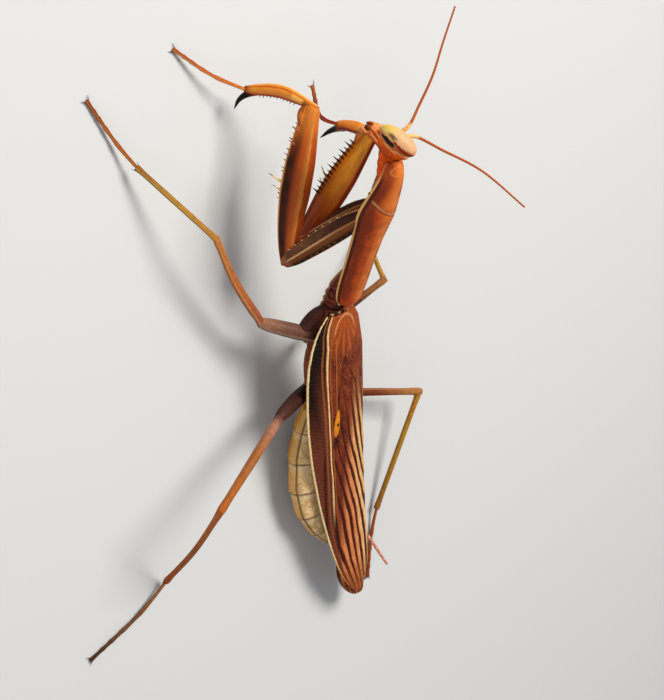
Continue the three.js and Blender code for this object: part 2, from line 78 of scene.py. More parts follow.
CAMERA_PLACE = Vector((133.98, -84.52, 153.26)) * MM
CAMERA_TURN = [math.radians(angle) for angle in (-13.104, -47.538, 166.56)]
bpy.ops.object.camera_add(location=CAMERA_PLACE, rotation=CAMERA_TURN)
camera = bpy.context.object
camera.data.lens = 92.6
camera.data.clip_start = 0.01
bpy.context.scene.camera = camera

# ---------------------------------------------------------------- prothorax
# The long shield behind the head, of hard shell. It is drawn out ring by ring from its rear end to
# the neck; its sides end in thin cream edges, and a cross groove marks where the arms hang below.

# The body's lines are given from a point on the floor below the waist, which lies here in the frame.
WAIST = np.array([-7.784, -0.245, -0.08])


def pick(piece):
    """Selects one object alone."""
    bpy.ops.object.select_all(action="DESELECT")
    piece.select_set(True)
    bpy.context.view_layer.objects.active = piece


def smoothed(piece, levels):
    """Rounds a piece with a subdivision surface and shades it smooth."""
    pick(piece)
    rounding = piece.modifiers.new("rounding", "SUBSURF")
    rounding.levels = rounding.render_levels = levels
    bpy.ops.object.modifier_apply(modifier=rounding.name)
    bpy.ops.object.shade_smooth()


def draw_out(name, length, wide, high=None, rings=12, sides=16, levels=2):
    """A rod drawn out along +Z, ring by ring.

    wide and high give its diameters as (part of its length, mm). Without a number of rings, there
    is one at each part that wide names.
    """
    high = high or wide
    stops = [part for part, _ in wide]
    if rings:
        stops = [(1 - math.cos(math.pi * i / rings)) / 2 for i in range(rings + 1)]
    widths = np.interp(stops, *zip(*wide))
    heights = np.interp(stops, *zip(*high))
    bpy.ops.object.select_all(action="DESELECT")
    bpy.ops.mesh.primitive_circle_add(vertices=sides, radius=0.5, fill_type="NGON", enter_editmode=True)
    bpy.ops.mesh.select_all(action="SELECT")
    bpy.ops.transform.resize(value=(widths[0], heights[0], 1), center_override=(0, 0, 0))
    for i in range(1, len(stops)):
        step = (stops[i] - stops[i - 1]) * length
        bpy.ops.mesh.extrude_region_move(TRANSFORM_OT_translate={"value": (0, 0, step)})
        grow = (widths[i] / widths[i - 1], heights[i] / heights[i - 1], 1)
        bpy.ops.transform.resize(value=grow, center_override=(0, 0, 0))
    bpy.ops.mesh.select_all(action="SELECT")
    bpy.ops.mesh.normals_make_consistent(inside=False)
    bpy.ops.object.mode_set(mode="OBJECT")
    rod = bpy.context.object
    rod.name = rod.data.name = name
    smoothed(rod, levels)
    x, y, z = points_of(rod).T
    along = z / length
    across = 2 * x / np.interp(along, *zip(*wide))
    back = 2 * y / np.interp(along, *zip(*high))
    keep(rod, "form", np.stack([across, back, along], 1))
    return rod


def points_of(piece):
    """The places of a mesh's points, one row each."""
    places = np.empty(len(piece.data.vertices) * 3)
    piece.data.vertices.foreach_get("co", places)
    return places.reshape(-1, 3)


def smooth_step(value, low, high):
    """Rises smoothly from 0 to 1 while value goes from low to high."""
    s = np.clip((value - low) / (high - low), 0, 1)
    return s * s * (3 - 2 * s)


def move_points(piece, places):
    """Puts a mesh's points at new places, one row each."""
    piece.data.vertices.foreach_set("co", np.asarray(places, float).ravel())
    piece.data.update()


def keep(piece, name, values):
    """Keeps a row of three numbers for each point, for the finish to read."""
    kept = piece.data.attributes.get(name) or piece.data.attributes.new(name, "FLOAT_VECTOR", "POINT")
    kept.data.foreach_set("vector", np.asarray(values, float).ravel())


def kept(piece, name):
    """Reads back what keep has kept."""
    values = np.empty(len(piece.data.vertices) * 3)
    piece.data.attributes[name].data.foreach_get("vector", values)
    return values.reshape(-1, 3)


def raise_relief(piece, height):
    """Lifts each point off the surface by height(across, back, along) mm, read at its form."""
    lifts = height(*kept(piece, "form").T)
    normals = np.empty(len(piece.data.vertices) * 3)
    piece.data.vertices.foreach_get("normal", normals)
    move_points(piece, points_of(piece) + normals.reshape(-1, 3) * lifts[:, None])


def bump_at(value, middle, width):
    """A smooth hump of height 1 at middle."""
    return np.exp(-(((value - middle) / width) ** 2))


def line_through(stops, steps=80):
    """A smooth line through a few stops, as evenly spaced points (centripetal Catmull-Rom)."""
    stops = [np.array(stop, float) for stop in stops]
    if len(stops) == 2:
        return np.linspace(stops[0], stops[1], steps + 1)
    stops = [2 * stops[0] - stops[1], *stops, 2 * stops[-1] - stops[-2]]
    line = []
    for a, b, c, d in zip(stops, stops[1:], stops[2:], stops[3:]):
        ta, tb, tc = (math.sqrt(np.linalg.norm(q - p)) for p, q in ((a, b), (b, c), (c, d)))
        into = (c - b) + tb * ((b - a) / ta - (c - a) / (ta + tb))
        out = (c - b) + tb * ((d - c) / tc - (d - b) / (tb + tc))
        for s in np.linspace(0, 1, steps, endpoint=False):
            line.append(
                b * (2 * s**3 - 3 * s**2 + 1) + into * (s**3 - 2 * s**2 + s)
                + c * (3 * s**2 - 2 * s**3) + out * (s**3 - s**2)
            )
    line = np.array([*line, stops[-2]])
    walked = np.concatenate([[0], np.cumsum(np.linalg.norm(np.diff(line, axis=0), axis=1))])
    even = np.linspace(0, walked[-1], steps + 1)
    return np.stack([np.interp(even, walked, line[:, axis]) for axis in range(3)], 1)


def lay_along(rod, stops, up):
    """Bends a straight rod along a line of the body, its back towards up, and brings it to metres."""
    line = line_through(stops)
    tangents = np.gradient(line, axis=0)
    places = points_of(rod)
    part = kept(rod, "form")[:, 2]
    length = np.linalg.norm(np.diff(line, axis=0), axis=1).sum()
    at = np.linspace(0, 1, len(line))
    centre = np.stack([np.interp(part, at, line[:, axis]) for axis in range(3)], 1)
    along = np.stack([np.interp(part, at, tangents[:, axis]) for axis in range(3)], 1)
    along /= np.linalg.norm(along, axis=1)[:, None]
    past = places[:, 2:] - np.clip(places[:, 2:], 0, length)
    side = np.cross(np.array(up, float), along)
    side /= np.linalg.norm(side, axis=1)[:, None]
    lift = np.cross(along, side)
    bent = centre + along * past + side * places[:, :1] + lift * places[:, 1:2]
    move_points(rod, (bent + WAIST) * MM)


def length_of(stops):
    """The length of the smooth line through a few stops, in mm."""
    return np.linalg.norm(np.diff(line_through(stops), axis=0), axis=1).sum()


def shell(name, stops, wide, high=None, up=(0, 0, 1), relief=None, **drawing):
    """A rod as long as a line of the body, given its relief and laid along the line."""
    rod = draw_out(name, length_of(stops), wide, high, **drawing)
    if relief:
        raise_relief(rod, relief)
    lay_along(rod, stops, up)
    return rod


def colour(hexadecimal):
    """A colour as it looks, such as b4581f, in the linear values that shaders take."""
    parts = [int(hexadecimal[i : i + 2], 16) / 255 for i in (0, 2, 4)]
    return [c / 12.92 if c <= 0.04045 else ((c + 0.055) / 1.055) ** 2.4 for c in parts] + [1.0]


class Finish:
    """The procedural finish of one kind of surface, built a node at a time.

    shade is the colour so far, and lay adds another over it.
    """

    def __init__(self, name, roughness, coat=0.0, softness=0.0):
        self.material = bpy.data.materials.new(name)
        self.material.use_nodes = True
        self.tree = self.material.node_tree
        self.surface = self.tree.nodes["Principled BSDF"]
        self.shade = None
        self.surface.inputs["Roughness"].default_value = roughness
        self.surface.inputs["Coat Weight"].default_value = coat
        self.surface.inputs["Coat Roughness"].default_value = 0.25
        self.surface.inputs["Specular IOR Level"].default_value = 0.1
        if softness:
            self.surface.inputs["Subsurface Weight"].default_value = softness
            self.surface.inputs["Subsurface Radius"].default_value = (1.0, 0.45, 0.2)
            self.surface.inputs["Subsurface Scale"].default_value = 0.4 * MM

    def node(self, kind, *values, **settings):
        """A node whose inputs take values in turn; None leaves an input as it is."""
        made = self.tree.nodes.new(kind)
        for key, value in settings.items():
            setattr(made, key, value)
        for socket, value in zip(made.inputs, values):
            self.feed(socket, value)
        return made

    def feed(self, socket, value):
        if isinstance(value, bpy.types.NodeSocket):
            self.tree.links.new(value, socket)
        elif value is not None:
            socket.default_value = value

    def kept(self, name="form"):
        """The three numbers that a piece keeps for each point."""
        found = self.node("ShaderNodeAttribute", attribute_name=name)
        return self.node("ShaderNodeSeparateXYZ", found.outputs["Vector"]).outputs

    def spot(self, stretch=(1, 1, 1)):
        """The place on the object, in mm, stretched along its axes."""
        place = self.node("ShaderNodeTexCoord").outputs["Object"]
        scale = [s / MM for s in stretch]
        return self.node("ShaderNodeMapping", place, None, None, scale).outputs[0]

    def drawn(self, across, back, along):
        """A place in the piece's straight form, in mm."""
        x, y, z = self.kept()
        parts = [self.times(value, size) for value, size in ((x, across), (y, back), (z, along))]
        return self.node("ShaderNodeCombineXYZ", *parts).outputs[0]

    def math(self, operation, *values):
        return self.node("ShaderNodeMath", *values, operation=operation).outputs[0]

    def plus(self, first, second):
        return self.math("ADD", first, second)

    def minus(self, first, second):
        return self.math("SUBTRACT", first, second)

    def times(self, first, second):
        return self.math("MULTIPLY", first, second)

    def either(self, first, second):
        """Where one mask or the other is."""
        return self.math("MAXIMUM", first, second)

    def between(self, value, low, high, start=0.0, end=1.0):
        """Rises smoothly from start to end while value goes from low to high."""
        values = (value, low, high, start, end)
        return self.node("ShaderNodeMapRange", *values, interpolation_type="SMOOTHSTEP").outputs[0]

    def band(self, value, middle, half, soft):
        """1 within half of middle, fading to 0 over soft."""
        off = self.math("ABSOLUTE", self.minus(value, middle))
        return self.between(off, half, half + soft, 1.0, 0.0)

    def both(self, *masks):
        """Where all the masks are."""
        found = masks[0]
        for mask in masks[1:]:
            found = self.times(found, mask)
        return found

    def noise(self, place, scale=1.0, detail=3.0, low=0.35, high=0.65):
        """Cloudy noise with grains of about 1 / scale, spread over 0 to 1."""
        made = self.node("ShaderNodeTexNoise", place)
        made.inputs["Scale"].default_value = scale
        made.inputs["Detail"].default_value = detail
        return self.between(made.outputs[0], low, high)

    def wavering(self, place, amount, scale=0.8):
        """A place pushed about softly, by up to amount."""
        drift = self.node("ShaderNodeTexNoise", place)
        drift.inputs["Scale"].default_value = scale
        centre = (0.5, 0.5, 0.5)
        push = self.node("ShaderNodeVectorMath", drift.outputs["Color"], centre, operation="SUBTRACT")
        push = self.node("ShaderNodeVectorMath", push.outputs[0], operation="SCALE")
        push.inputs["Scale"].default_value = amount
        return self.node("ShaderNodeVectorMath", place, push.outputs[0]).outputs[0]

    def away(self, first, second, place, reach):
        """How far two numbers are from a place; 1 at the reach of each."""
        squares = []
        for value, middle, size in zip((first, second), place, reach):
            off = self.math("DIVIDE", self.minus(value, middle), size)
            squares.append(self.times(off, off))
        return self.math("SQRT", self.plus(*squares))

    def cells(self, place, scale=1.0, edge=0.12):
        """The walls of a net of cells, 1 on a wall."""
        made = self.node("ShaderNodeTexVoronoi", place, feature="DISTANCE_TO_EDGE")
        made.inputs["Scale"].default_value = scale
        return self.between(made.outputs[0], 0.0, edge, 1.0, 0.0)

    def paint(self, under, over, mask):
        """One colour over another where the mask is."""
        made = self.node("ShaderNodeMix", data_type="RGBA")
        self.feed(made.inputs[0], mask)
        for socket, shade in ((made.inputs[6], under), (made.inputs[7], over)):
            self.feed(socket, colour(shade) if isinstance(shade, str) else shade)
        return made.outputs[2]

    def lay(self, over, *masks):
        """Lays one more colour over the shade, where all the masks are."""
        self.shade = self.paint(self.shade, over, self.both(*masks))

    def bump(self, height, depth, under=None):
        """Bump of a depth in mm, on top of another."""
        made = self.node("ShaderNodeBump")
        made.inputs["Distance"].default_value = depth * MM
        self.feed(made.inputs["Height"], height)
        if under is not None:
            self.tree.links.new(under, made.inputs["Normal"])
        return made.outputs[0]

    def done(self, normal=None):
        """Hands over the material, with the shade and the bump in it."""
        self.feed(self.surface.inputs["Base Color"], self.shade)
        if normal is not None:
            self.feed(self.surface.inputs["Normal"], normal)
        return self.material


def set_up(piece, finish, slot, *nodes):
    """Gives a finished piece its material and its place in the frame, and hides the parts of the model that
    it stands in for; the slot is not used.
    """
    piece.data.materials.clear()
    piece.data.materials.append(finish)
    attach(piece, "root")
    if nodes:
        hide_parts(*nodes)


SHIELD_BEADS = ((-0.42, 0.700), (-0.36, 0.732), (-0.12, 0.792))  # (back, along)


def shield_finish():
    """Orange-brown shell, clouded dark along its flanks, with a pale groove and gold side edges; painted
    light makes its right side lighter, and painted shade darkens its left side and left flank.
    """
    f = Finish("shield_shell", 0.5, coat=0.05)
    across, back, along = f.kept()
    grain = f.noise(f.drawn(1.2, 1, 14), 0.9, 4)
    fine = f.noise(f.spot(), 7.0, 2)
    top = f.between(back, 0.05, 0.3)
    # Painted light: the right side, towards the light, is painted lighter, and the left side is painted
    # darker as shade.
    f.shade = f.paint("dc7a30", "b64a1a", f.between(across, -0.45, 0.3))
    f.lay("8e3410", grain, 0.45)
    f.lay("dc7830", f.between(along, 0.70, 0.75), f.between(across, 0.6, -0.1), 0.75)
    cloudy = f.plus(across, f.between(f.noise(f.spot(), 0.5, 3), 0, 1, -0.1, 0.1))
    # The dark band along the left flank is the shell's own band with painted shade added to it; the band on
    # the right is fainter and has no added shade.
    flank = f.both(f.band(cloudy, 0.68, 0.1, 0.36), f.between(along, 0.97, 0.8), top)
    f.lay("6a240f", flank, 0.8)
    f.lay("571a0b", f.band(cloudy, -0.85, 0.05, 0.25), top, 0.5)
    f.lay("cc4a14", f.between(along, 0.10, 0.02), 0.7)
    bow = f.minus(along, f.times(across, 0.055))
    groove = f.both(f.band(bow, 0.713, 0.004, 0.010), f.band(across, 0.0, 0.75, 0.2), top)
    f.lay("e09a66", groove, 0.85)
    f.lay("7a2c10", f.band(bow, 0.700, 0.003, 0.005), top, 0.7)
    loop = f.band(f.away(across, along, (0.0, 0.968), (0.62, 0.024)), 1.0, 0.08, 0.2)
    f.lay("d88a4a", loop, top, f.between(cloudy, -0.4, 0.5, 0.1, 0.55))
    f.lay("7a4222", f.between(back, -0.15, -0.35))
    side_edges = f.between(f.math("ABSOLUTE", across), 0.7, 0.82)
    rim = f.either(side_edges, f.between(along, 0.03, 0.015))
    behind_front = f.between(along, 0.97, 0.86)
    f.lay("4a1a0c", f.band(back, 0.27, 0.09, 0.1), rim, behind_front)
    gold = f.paint("c8703a", "eab468", behind_front)
    f.lay(gold, f.band(back, 0.0, 0.11, 0.06), rim)
    for place in SHIELD_BEADS:
        f.lay("8a3412", f.between(f.away(back, along, place, (0.2, 0.011)), 1.1, 0.8), rim)
    f.lay("6a2f1c", fine, 0.2)
    return f.done(f.bump(fine, 0.03, f.bump(grain, 0.05)))


def shield_relief(across, back, along):
    """A keel behind the groove, hollows beside it, and toothed and beaded side edges."""
    off = np.abs(across)
    top = np.clip(back * 3, 0, 1)
    rim = np.clip((off - 0.6) / 0.35, 0, 1)
    edge = 0.14 * bump_at(back, 0, 0.16) * rim
    groove = -0.14 * bump_at(along - 0.055 * across, 0.705, 0.010) * top * smooth_step(off, 0.95, 0.7)
    keel = 0.07 * bump_at(across, 0.02, 0.07) * top * np.clip((0.66 - along) * 8, 0, 1)
    hollows = -0.09 * bump_at(off, 0.5, 0.22) * bump_at(along, 0.80, 0.07) * top
    hollows = hollows - 0.07 * bump_at(off, 0.5, 0.25) * bump_at(along, 0.3, 0.25) * top
    loop = 0.05 * bump_at(np.hypot(across / 0.62, (along - 0.968) / 0.024), 1.0, 0.15) * top
    teeth = 0.05 * np.clip(np.sin(along * 210), 0, 1) * bump_at(back, 0, 0.1)
    teeth = teeth * np.clip((off - 0.85) * 8, 0, 1)
    beads = sum(
        0.2 * bump_at(along, place, 0.008) * bump_at(back, depth, 0.15) * rim
        for depth, place in SHIELD_BEADS
    )
    return edge + groove + keel + hollows + loop + teeth + beads


PRONOTUM_FRONT = np.array([-0.1, -24.0, 24.9])
PRONOTUM_REAR = np.array([-0.1, -5.4, 13.9])
HALF_SHIELD = 1.35  # from the shield's back down to its middle line, in mm
SHIELD_BOWS = [(0, (0, 0, 0)), (0.62, (0.05, -0.01, -0.06)), (0.88, (-0.16, 0.04, 0.2)), (1, (0, 0, 0))]
shield_way = PRONOTUM_FRONT - PRONOTUM_REAR
shield_lift = np.cross(shield_way / np.linalg.norm(shield_way), [1, 0, 0])
shield_line = [
    PRONOTUM_REAR + part * shield_way + np.array(bow) - HALF_SHIELD * shield_lift
    for part, bow in SHIELD_BOWS
]
prothorax = draw_out(
    "prothorax_shield",
    length_of(shield_line),
    [(0, 2.0), (0.03, 3.1), (0.12, 3.8), (0.35, 3.9), (0.52, 4.2), (0.65, 5.0),
     (0.76, 4.1), (0.88, 3.2), (0.96, 2.7), (1, 1.9)],
    [(0, 1.6), (0.05, 2.3), (0.35, 2.5), (0.68, 3.1), (0.85, 2.8), (0.96, 2.4), (1, 1.6)],
    rings=20,
    levels=3,
)
raise_relief(prothorax, shield_relief)
x, y, z = points_of(prothorax).T
eave = smooth_step(-y, 0.05, 0.7)
move_points(prothorax, np.stack([x * (1 - 0.3 * eave), y * (1 - 0.25 * eave), z], 1))
lay_along(prothorax, shield_line, (0.31, 0, 0.95))
set_up(prothorax, shield_finish(), "body_shell", "prothorax")

# ---------------------------------------------------------------- thorax
# The trunk under the wing bases. Its front is a soft dark membrane that reaches up beneath the
# shield, with a few deep uneven folds and small pale plates set into it.
TRUNK_FOLDS = ((0.195, 0.002), (0.232, 0.005), (0.272, 0.003), (0.30, 0.006))  # (part, half width)
TRUNK_PLATES = (  # (across, along) and their reach
    ((-0.31, 0.262), (0.16, 0.013)), ((-0.16, 0.325), (0.12, 0.010)),
    ((0.5, 0.335), (0.2, 0.010)), ((-0.67, 0.335), (0.14, 0.010)),
)


def trunk_finish():
    """Dark red-brown membrane with blackish painted shade in its folds and small pale plates, tan beneath.
    """
    f = Finish("trunk_shell", 0.55, coat=0.03)
    across, back, along = f.kept()
    grain = f.noise(f.spot(), 2.0, 4)
    f.shade = f.paint("7c3624", "561e14", grain)
    f.lay("8a4a3a", f.between(back, 0.5, 0.95), f.between(along, 0.45, 0.3), 0.5)
    f.lay("8f5a3a", f.between(along, 0.56, 0.84), f.between(grain, 0, 1, 0.4, 0.9))
    wave = f.plus(along, f.times(f.noise(f.spot(), 0.9, 2, 0.3, 0.7), 0.012))
    # Painted shade: each fold is darkened to blackish, where shade falls in the crease.
    for place, half in TRUNK_FOLDS:
        crease = f.band(wave, place + 0.006, half, 0.008)
        f.lay("210805", crease, f.between(f.noise(f.spot(), 0.7, 1), 0.0, 0.5, 0.4, 0.95))
    for place, reach in TRUNK_PLATES:
        spot = f.away(across, along, place, reach)
        f.lay("2a0c08", f.between(spot, 1.7, 1.3), f.between(back, 0, 0.3))
        f.lay("d8b080", f.between(spot, 1.1, 0.8), f.between(back, 0, 0.3))
    f.lay("a87a4a", f.between(back, -0.3, -0.8))
    return f.done(f.bump(grain, 0.06))


def trunk_relief(across, back, along):
    """Creases, raised plates, two seams and a swelling at each side below the wings."""
    creases = sum(
        -0.18 * bump_at(along + 0.014 * np.sin(5 * across + 40 * place), place, 0.007 + half)
        for place, half in TRUNK_FOLDS
    )
    plates = 0
    for (x, z), (wide, deep) in TRUNK_PLATES:
        inside = np.hypot((across - x) / wide, (along - z) / deep) < 1.1
        plates = plates + 0.1 * inside * np.clip(back * 4, 0, 1)
    seams = -0.14 * (bump_at(along, 0.616, 0.010) + bump_at(along, 0.824, 0.010))
    return creases + plates + seams + 0.12 * bump_at(np.abs(across), 0.9, 0.2) * bump_at(along, 0.72, 0.07)


trunk = shell(
    "trunk",
    [(-0.9, -10.6, 14.4), (-0.5, -9.3, 13.2), (-0.1, -7.4, 11.5),
     (0, -4.4, 9.9), (0, -1.4, 8.4), (0, 8, 6.35)],
    [(0, 1.4), (0.1, 2.0), (0.2, 2.3), (0.28, 2.8), (0.376, 3.4),
     (0.52, 4.6), (0.68, 6.0), (0.92, 6.6), (1, 5.8)],
    [(0, 1.8), (0.1, 2.4), (0.2, 2.6), (0.28, 2.8), (0.376, 3.1),
     (0.52, 3.4), (0.68, 4.0), (0.92, 4.3), (1, 4.0)],
    relief=trunk_relief, rings=26, levels=3,
)
set_up(trunk, trunk_finish(), "body_shell", "thorax")

# ---------------------------------------------------------------- abdomen
# A broad soft-sided abdomen, heavy with eggs. Its rings overlap like tiles, and a pleat runs
# along each side between the plates above and those below.
RING_EDGES = (0.12, 0.30, 0.48, 0.63, 0.76, 0.87, 0.95)


def abdomen_finish():
    """Cream plates above and amber ones below, with brown seams and a brown pleat at each side."""
    f = Finish("abdomen_shell", 0.6, softness=0.1)
    across, back, along = f.kept()
    off = f.math("ABSOLUTE", across)
    grain = f.noise(f.spot(), 1.2, 5)
    speckle = f.noise(f.spot(), 7.0, 2, 0.55, 0.7)
    f.shade = f.paint("dcbc8c", "be9a66", grain)
    f.lay("cfa062", f.between(back, 0.26, 0.18))
    f.lay("c4802e", f.between(back, -0.1, -0.35))
    f.lay("8a5a30", f.between(back, -0.55, -0.85))
    f.lay("7a5236", f.between(back, 0.6, 0.95), 0.6)
    wander = f.times(f.noise(f.spot(), 0.8, 2, 0.2, 0.8), 0.012)
    place = f.plus(along, wander)
    for edge in RING_EDGES:
        seam = f.band(place, edge + 0.006, 0.003, 0.009)
        f.lay("5e3a20", seam, 0.8)
        after = f.both(
            f.between(place, edge + 0.006, edge + 0.012), f.between(place, edge + 0.06, edge + 0.02)
        )
        f.lay("dcc49c", after, 0.5)
    pleat = f.band(f.plus(back, f.times(wander, 4.0)), 0.24, 0.02, 0.05)
    f.lay("6a4a28", pleat, f.between(off, 0.5, 0.75), 0.8)
    f.lay("7a5832", speckle, 0.3)
    f.lay("8a4a2a", f.between(along, 0.92, 1.0))
    return f.done(f.bump(speckle, 0.03, f.bump(grain, 0.08)))


def abdomen_relief(across, back, along):
    """Each ring rises to its rear edge, and the pleat is sunk into the side."""
    steps = np.zeros_like(along)
    for start, end in zip((0.0, *RING_EDGES), (*RING_EDGES, 1.0)):
        inside = (along >= start) & (along < end)
        steps += np.where(inside, 0.17 * ((along - start) / (end - start)) ** 1.5, 0)
    steps -= 0.10
    pleat = -0.16 * bump_at(back, 0.24, 0.05) * np.clip((np.abs(across) - 0.4) * 3, 0, 1)
    return steps + pleat


abdomen = shell(
    "abdomen_rings",
    [(0, 8.3, 5.9), (0, 12.5, 4.7), (0, 17.5, 3.8), (-0.4, 23, 3.3), (-2.6, 30.6, 3.4)],
    [(0, 6.4), (0.08, 8.4), (0.25, 10.9), (0.45, 12.1), (0.62, 11.3), (0.8, 8.2), (0.93, 4.6), (1, 2.2)],
    [(0, 4.0), (0.08, 4.8), (0.22, 5.5), (0.45, 5.4), (0.65, 4.5), (0.85, 2.7), (1, 1.0)],
    relief=abdomen_relief, rings=26, sides=20, levels=3,
)
set_up(abdomen, abdomen_finish(), "abdomen_shell", "abdomen")

# ---------------------------------------------------------------- cerci
# Two short feelers beside the tip of the abdomen. Each is a row of beads that grow smaller to its
# end, with four rings of the mesh to a bead.
CERCUS_BEADS = 9


def cercus_finish():
    f = Finish("cercus_shell", 0.5)
    bead = f.math("COSINE", f.times(f.kept()[2], 2 * math.pi * CERCUS_BEADS))
    f.shade = f.paint("b87060", "cc9080", f.between(bead, -0.2, 0.9))
    return f.done()


cercus_skin = cercus_finish()
cercus_stops = [i / (4 * CERCUS_BEADS) for i in range(4 * CERCUS_BEADS + 1)]
cercus_widths = [
    (part, (0.72 - 0.3 * part) * (0.88 + 0.14 * math.cos(2 * math.pi * CERCUS_BEADS * part)))
    for part in cercus_stops
]
for side_name, line in {
    "left": [(-1.8, 29.2, 3.3), (-1.5, 31.6, 3.0), (-0.9, 34.6, 3.2)],
    "right": [(-3.3, 29.2, 3.4), (-5.5, 30.7, 3.6), (-6.6, 35.5, 5.8)],
}.items():
    cercus = shell("cercus_beads_" + side_name, line, cercus_widths, rings=None, sides=8, levels=1)
    set_up(cercus, cercus_skin, "feeler", "cercus_" + side_name)

# ---------------------------------------------------------------- tegmina
# The leathery forewings lie folded over the back, the left one over the right. The broad field is
# a low arch; outside the stout cream vein the leading field turns down along the body.
WING_BASE = -5.0
LEFT_WING_TIP = 36.8
RIGHT_WING_TIP = 37.9
OVERLAP = 3.4
WING_HEIGHT = 13  # of their outer face over the floor, at their base
WING_SLOPE = 0.19
TIP_DRIFT = 1.7  # how far the tips stand off to the right
SHEET_DROP = 0.08  # how far the sheets lie under wing_top
TEGMEN_SHEET = 0.22
# the stout vein, as (mm along, part of the half width)
VEIN_PATH = [(-5, 0.84), (-1, 0.71), (3, 0.68), (7.5, 0.635), (12, 0.63), (17.5, 0.66),
             (24, 0.75), (37, 0.82)]
# (part of the length, mm from the middle line to the leading edge)
HALF_WIDTH = [(0, 2.6), (0.03, 3.4), (0.06, 3.95), (0.1, 4.42), (0.15, 4.8), (0.21, 5.0), (0.29, 5.08),
              (0.37, 5.02), (0.46, 4.8), (0.56, 4.45), (0.66, 4.12), (0.76, 3.75), (0.82, 3.45),
              (0.87, 3.1), (0.91, 2.72), (0.94, 2.25), (0.965, 1.75), (0.985, 1.2), (1, 0.4)]
# one dark streak, as (mm along, mm across), and how far it is from there to the next
STREAK_PATH = [(-5, 4.2), (9, 2.7), (13, 1.9), (16.6, 1.0), (20.6, 0.1), (24.5, -0.55),
               (28.7, -0.9), (37, -1.0)]
STREAK_STEP = [(-5, 1.1), (9, 1.15), (16.6, 1.05), (28, 1.15), (31, 1.0), (37, 0.55)]


def at_path(y, path):
    """What a path gives at y mm along."""
    return np.interp(y, *zip(*path))


def half_width(y):
    """How far the leading edge is from the middle line of the folded wings, in mm."""
    return at_path((y - WING_BASE) / (LEFT_WING_TIP - WING_BASE), HALF_WIDTH)


def wing_top(out, y):
    """Height of the outer face of the folded wings, out mm from their middle line."""
    t = np.clip((y - WING_BASE) / (LEFT_WING_TIP - WING_BASE), 0, 1)
    fold = np.maximum(1.2, 0.68 * half_width(y))
    arch = 0.055 * np.minimum(out, fold) ** 2
    turned = (1.25 - 0.75 * smooth_step(t, 0.6, 1)) * np.maximum(0, out - fold)
    return WING_HEIGHT - WING_SLOPE * (y - WING_BASE) - arch - turned


def streak_count(x, y):
    """Counts the dark streaks across the broad field: a whole number on each of them."""
    return (at_path(y, STREAK_PATH) - x) / at_path(y, STREAK_STEP)


def wing_tip(t):
    """How wide the wing still is, as it rounds off to its tip."""
    return np.sqrt(np.maximum(0, 1 - np.maximum(0, (t - 0.88) / 0.12) ** 2))


def wing_sheet(name, side, base, tip, inner, outer, sink, relief, thickness, columns=72, rows=220):
    """A thin wing between its hind and leading edges, its veins raised, left as a closed sheet."""
    bpy.ops.object.select_all(action="DESELECT")
    bpy.ops.mesh.primitive_grid_add(x_subdivisions=columns, y_subdivisions=rows, size=1)
    sheet = bpy.context.object
    sheet.name = sheet.data.name = name
    across, t, _ = (points_of(sheet) + 0.5).T
    if side < 0:
        across = 1 - across
    y = base + (tip - base) * t
    out = inner(t, y) + (outer(t, y) - inner(t, y)) * across
    x = side * out
    middle = -TIP_DRIFT * np.maximum(0, (y - 15) / 21) ** 1.3
    form = np.stack([x / half_width(y), y, across], 1)
    z = wing_top(np.abs(x), y) - sink(out) + relief(out / half_width(y), y, across) - SHEET_DROP
    keep(sheet, "form", form)
    beyond = out / half_width(y) - at_path(y, VEIN_PATH)
    keep(sheet, "veins", np.stack([streak_count(out, y), beyond, out], 1))
    move_points(sheet, (np.stack([x + middle, y, z], 1) + WAIST) * MM)
    pick(sheet)
    skin = sheet.modifiers.new("thickness", "SOLIDIFY")
    skin.thickness = thickness * MM
    skin.offset = -1
    bpy.ops.object.modifier_apply(modifier=skin.name)
    bpy.ops.object.shade_smooth()
    return sheet


def tegmen_relief(u, y, across):
    """Raised veins: the stout one, its fainter neighbours, and the fine ones that fan to the tip."""
    vein = at_path(y, VEIN_PATH)
    stout = 0.16 * bump_at(u, vein, 0.028) * smooth_step(y, 27, 22)
    second = 0.06 * (bump_at(u, vein - 0.09, 0.025) + bump_at(u, vein + 0.08, 0.02))
    second = second * smooth_step(y, 34, 24)
    edge = 0.10 * bump_at(across, 1, 0.02) * smooth_step(y, 36.5, 32)
    count = streak_count(u * half_width(y), y) + 0.11
    fan = -0.05 * np.cos(2 * math.pi * count) * smooth_step(u, vein - 0.1, vein - 0.2)
    fan = fan * smooth_step(y, 2, 9) * smooth_step(y, 36.5, 32)
    oblique = 0.02 * np.sin(y * 9 + 14 * u + 1.5 * np.sin(y)) * smooth_step(u, vein + 0.05, vein + 0.12)
    return stout + second + edge + fan + oblique


def lay_broad_field(f, y, out, wild):
    """Two dark veins that part in the middle of the broad field, and pale ones over its root."""
    for start, end, root, slope in ((1.0, 5.0, 0.7, -0.45), (1.0, 8.2, 0.75, 0.18)):
        place = f.plus(f.times(f.minus(y, start), slope), root)
        reach = f.band(y, (start + end) / 2, (end - start) / 2, 0.5)
        vein = f.both(f.band(f.minus(out, place), 0.0, 0.06, 0.16), reach)
        f.lay("2a0c06", vein, f.between(wild, 0, 1, 0.2, 0.8))
    arch = f.away(out, y, (0.5, -2.0), (1.7, 2.8))
    f.lay("d89a68", f.band(arch, 1.0, 0.02, 0.07), f.between(y, -2.2, -3.0), 0.6)
    fan = f.math("SINE", f.times(f.math("ARCTAN2", f.minus(out, 0.6), f.plus(y, 5.2)), 26.0))
    f.lay("b8602a", f.between(fan, 0.3, 0.9), f.between(arch, 1.3, 0.7), 0.55)


